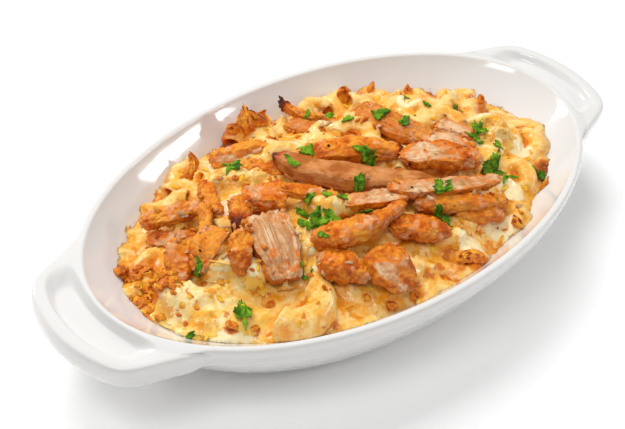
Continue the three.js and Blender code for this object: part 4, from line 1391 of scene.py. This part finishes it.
leafPlan = [
    # node, x, y, size, turn
    ("parsley_near", -78, -27, 13, -30), ("parsley_left", -34, 33, 11, -60), ("parsley_far", 71, -8, 10, 120),
    ("parsley_right", 60, -28, 11, 60), ("parsley_top", 11, -2, 10, -30), ("parsley_long", 23, -31, 11, 100),
    ("parsley_front", 15, -40, 9, 10), ("parsley_middle", -29, -15, 12, 150), ("parsley_edge", 79, -39, 9, 45),
    ("parsley_melt", -8, 17, 8, 200),
]
choppedBits = [
    # x, y, size, length over width
    (28, 42, 9, 2.6), (24, 26, 5, 1.6), (65, -33, 6, 2.2), (37, 21, 6, 1.4), (39, 19, 4, 1.2), (63, 28, 4, 1.5),
    (41, 9, 6, 1.5), (65, 18, 4, 1.8), (55, 16, 3, 1.4), (76, 9, 5, 2.0), (64, -11, 8, 2.6), (67, -13, 3, 1.2),
    (73, -18, 4, 1.4), (70, -20, 3, 1.2), (-4, -10, 5, 1.3), (-16, -25, 6, 1.5), (-25, -4, 4, 1.3), (-29, -6, 4, 1.3),
    (-34, -10, 5, 1.6), (-100, -22.5, 6, 3.0), (-80, -3, 5, 2.0), (-49, -29, 5, 2.6), (-38, -25, 5, 2.4),
    (17, 43, 5, 2.6), (-18, 15, 8, 3.0), (10, 3, 7, 2.2), (-31, -19, 5, 1.4), (-33, -13, 4, 1.2), (-25, -18, 5, 1.4),
    (-28, -11, 4, 1.3), (-16, -13, 4, 1.3), (-29, -3, 4, 1.3), (-20, -8, 4, 1.2), (-25, -15, 5, 1.6), (60, -34, 4, 2.0),
]
leafTips = [
    # across, along, as shares of the half size
    (-0.12, -1), (0.12, -1), (0.16, -0.25), (0.7, -0.45), (0.95, 0.1), (0.55, 0.35), (0.5, 0.8), (0.05, 1),
    (-0.3, 0.65), (-0.45, 0.4), (-0.95, 0.2), (-0.6, -0.35), (-0.15, -0.25),
]


def leafReach(angle):
    # Reach of a leaf's edge by direction, drawn between the tips and notched
    tips = sorted((math.atan2(along, across), math.hypot(across, along)) for across, along in leafTips)
    reach = np.interp(angle, [t[0] for t in tips], [t[1] for t in tips], period=2 * math.pi)
    return reach * (1 + 0.09 * np.sin(19 * angle) + 0.05 * np.sin(31 * angle))


def makeLeaf(tree, name, x, y, size, turn, lobes, slim, cells, lift):
    bpy.ops.mesh.primitive_grid_add(x_subdivisions=cells, y_subdivisions=cells, size=2)
    leaf = pick(bpy.context.object)
    leaf.name = name
    points = getPoints(leaf)
    du, dv = discFromSquare(points)
    angle = np.arctan2(dv, du)
    chopped = 1 + 0.22 * np.sin(3 * angle + x) + 0.14 * np.sin(5 * angle + y) + 0.08 * np.sin(9 * angle + x)
    outline = leafReach(angle) if lobes else chopped
    px, py = du * outline * size / 2 / slim, dv * outline * size / 2
    vein = 1 - smoothStep(0.0, 0.05, np.abs(px) / size)
    if lobes:
        sideVeins = np.abs(np.sin(2.2 * (py / size * 9 - np.abs(px) / size * 6)))
        vein = np.maximum(vein, 0.7 * (1 - smoothStep(0.0, 0.3, sideVeins)))
    curl = 0.09 * size * np.sin(5 * px / size + x) * np.cos(4 * py / size + y) + 0.3 * np.abs(px)
    wx, wy = laidOut(x, y, px, py, math.radians(turn))
    under = heightsOn(tree, wx, wy)
    rest = np.maximum(0.55 * under + 0.45 * np.percentile(under, 70), under)
    points = np.stack([wx, wy, rest + (lift + curl) * mm], axis=1)
    setPoints(leaf, keepInside(points, 0.5))
    setMask(leaf, "vein", vein)
    modify(leaf, "SOLIDIFY", thickness=0.35 * mm, offset=1)
    fixNormals(leaf)
    return leaf


allFood = surfaceOf(macaroniHeap, *meltPools, *chicken)


# Crumbs and short shreds that came off the chicken, lying between its pieces

crumbPlan = {"count": 190, "seed": 31, "small": 1.3, "large": 4.4, "offLeaves": 7.5, "torn": 0.4, "charred": 0.02}


def makeCrumbs(tree):
    plan = crumbPlan
    random.seed(plan["seed"])
    crumbs, torn, char = [], [], []
    for number in range(plan["count"]):
        row = random.choice(chickenPieces)
        place, ahead = spineAt(row["path"], np.array([random.uniform(-0.1, 1.1)]))
        drift = random.choice((-1, 1)) * row["width"] * random.uniform(0.3, 0.95)
        x, y = place[0][0] - ahead[0][1] * drift, place[0][1] + ahead[0][0] * drift
        z = heightOn(tree, x * mm, y * mm)
        if z is None or any(math.hypot(x - leaf[1], y - leaf[2]) < plan["offLeaves"] for leaf in leafPlan):
            continue
        bpy.ops.mesh.primitive_ico_sphere_add(subdivisions=2, radius=1)
        crumb = pick(bpy.context.object)
        length = random.uniform(plan["small"], plan["large"])
        turn = Matrix.Rotation(random.uniform(0, math.pi), 3, "Z") @ Matrix.Rotation(random.uniform(-0.5, 0.5), 3, "Y")
        points = getPoints(crumb)
        points *= (1 + 0.7 * noiseAt(points, 0.9, number, 2))[:, None]
        points *= np.array([length / 2, length / random.uniform(3, 5.5), length / random.uniform(4, 7)])
        points = points @ np.array(turn).T
        setPoints(crumb, points * mm + np.array([x * mm, y * mm, z + 0.25 * mm]))
        crumbs.append(crumb)
        torn += [float(random.random() < plan["torn"])] * len(points)
        char += [float(random.random() < plan["charred"])] * len(points)
    joined = joinPieces(crumbs, "chickenCrumbs")
    joined.data.uv_layers[0].name = "grain"
    setMask(joined, "torn", np.array(torn))
    setMask(joined, "strand", np.full(len(torn), 0.3))
    setMask(joined, "char", np.array(char))
    setMask(joined, "brown", np.zeros(len(torn)))
    return finishPiece(joined, roastChicken, "roast_chicken")


makeCrumbs(allFood)
print("crumbs made")

for node, x, y, size, turn in leafPlan:
    name = node.replace("parsley_", "parsleyLeaf")
    leaf = makeLeaf(allFood, name, x, y, size, turn, True, 1.8 if node == "parsley_near" else 1.25, 26, 0.3)
    finishPiece(leaf, parsleyLeaf, "parsley", node)
random.seed(21)
bits = [
    makeLeaf(allFood, "bit", x, y, size, random.uniform(0, 360), False, slim, 10, 0.2)
    for x, y, size, slim in choppedBits]
finishPiece(joinPieces(bits, "choppedParsley"), parsleyLeaf, "parsley")
print("parsley made")


# Floor and lights: a plain pale floor, three boxes that show in the glaze and two soft fills that don't

stagePlan = {"floorSize": 6, "below": 0.1 * mm, "glow": 0.07, "world": 0.25, "aimHeight": 30 * mm}


def makeFloor():
    plan = stagePlan
    bpy.ops.mesh.primitive_plane_add(size=plan["floorSize"], location=(0, 0, -plan["below"]))
    floor = pick(bpy.context.object)
    floor.name = "floor"
    material, tree, shader, place = startMaterial(
        "paleFloor", 0.9, Emission_Strength=plan["glow"], Specular_IOR_Level=0.1)
    shader.inputs["Emission Color"].default_value = tint(255, 255, 255)
    feed(tree, mixColours(tree, noiseNode(tree, place, 3.0), tint(250, 250, 250), tint(253, 253, 253)),
         shader.inputs["Base Color"])
    floor.data.materials.append(material)


lightPlan = [
    # name, direction from the dish, distance, width, height, watts, shows in the glaze
    ("rightBox", (0.733, -0.562, 0.384), 1.0, 0.42, 0.1, 1.7, True),
    ("skyBox", (0.1, 0.5, 0.85), 1.0, 0.8, 0.6, 8.4, False),
    ("topBox", (-0.5, -0.1, 0.86), 1.2, 0.42, 0.3, 2.5, True),
    ("backBox", (-0.12, 0.86, 0.5), 1.1, 0.28, 0.2, 2.0, True),
    ("frontFill", (-0.45, -0.3, 0.85), 1.1, 0.6, 0.5, 1.8, False),
]


def makeLights():
    aim = Vector((0, 0, stagePlan["aimHeight"]))
    for name, direction, distance, width, height, watts, glossy in lightPlan:
        place = aim + Vector(direction).normalized() * distance
        bpy.ops.object.light_add(type="AREA", location=place)
        light = bpy.context.object
        light.name = name
        light.rotation_euler = (place - aim).to_track_quat("Z", "Y").to_euler()
        light.data.shape = "RECTANGLE"
        light.data.size = width
        light.data.size_y = height
        light.data.energy = watts
        light.visible_glossy = glossy
    world = bpy.data.worlds.new("studio")
    world.use_nodes = True
    backdrop = world.node_tree.nodes["Background"]
    backdrop.inputs["Color"].default_value = (1, 1, 1, 1)
    backdrop.inputs["Strength"].default_value = stagePlan["world"]
    bpy.context.scene.world = world
    bpy.context.scene.view_settings.view_transform = "Standard"


makeFloor()
makeLights()
print("stage set")
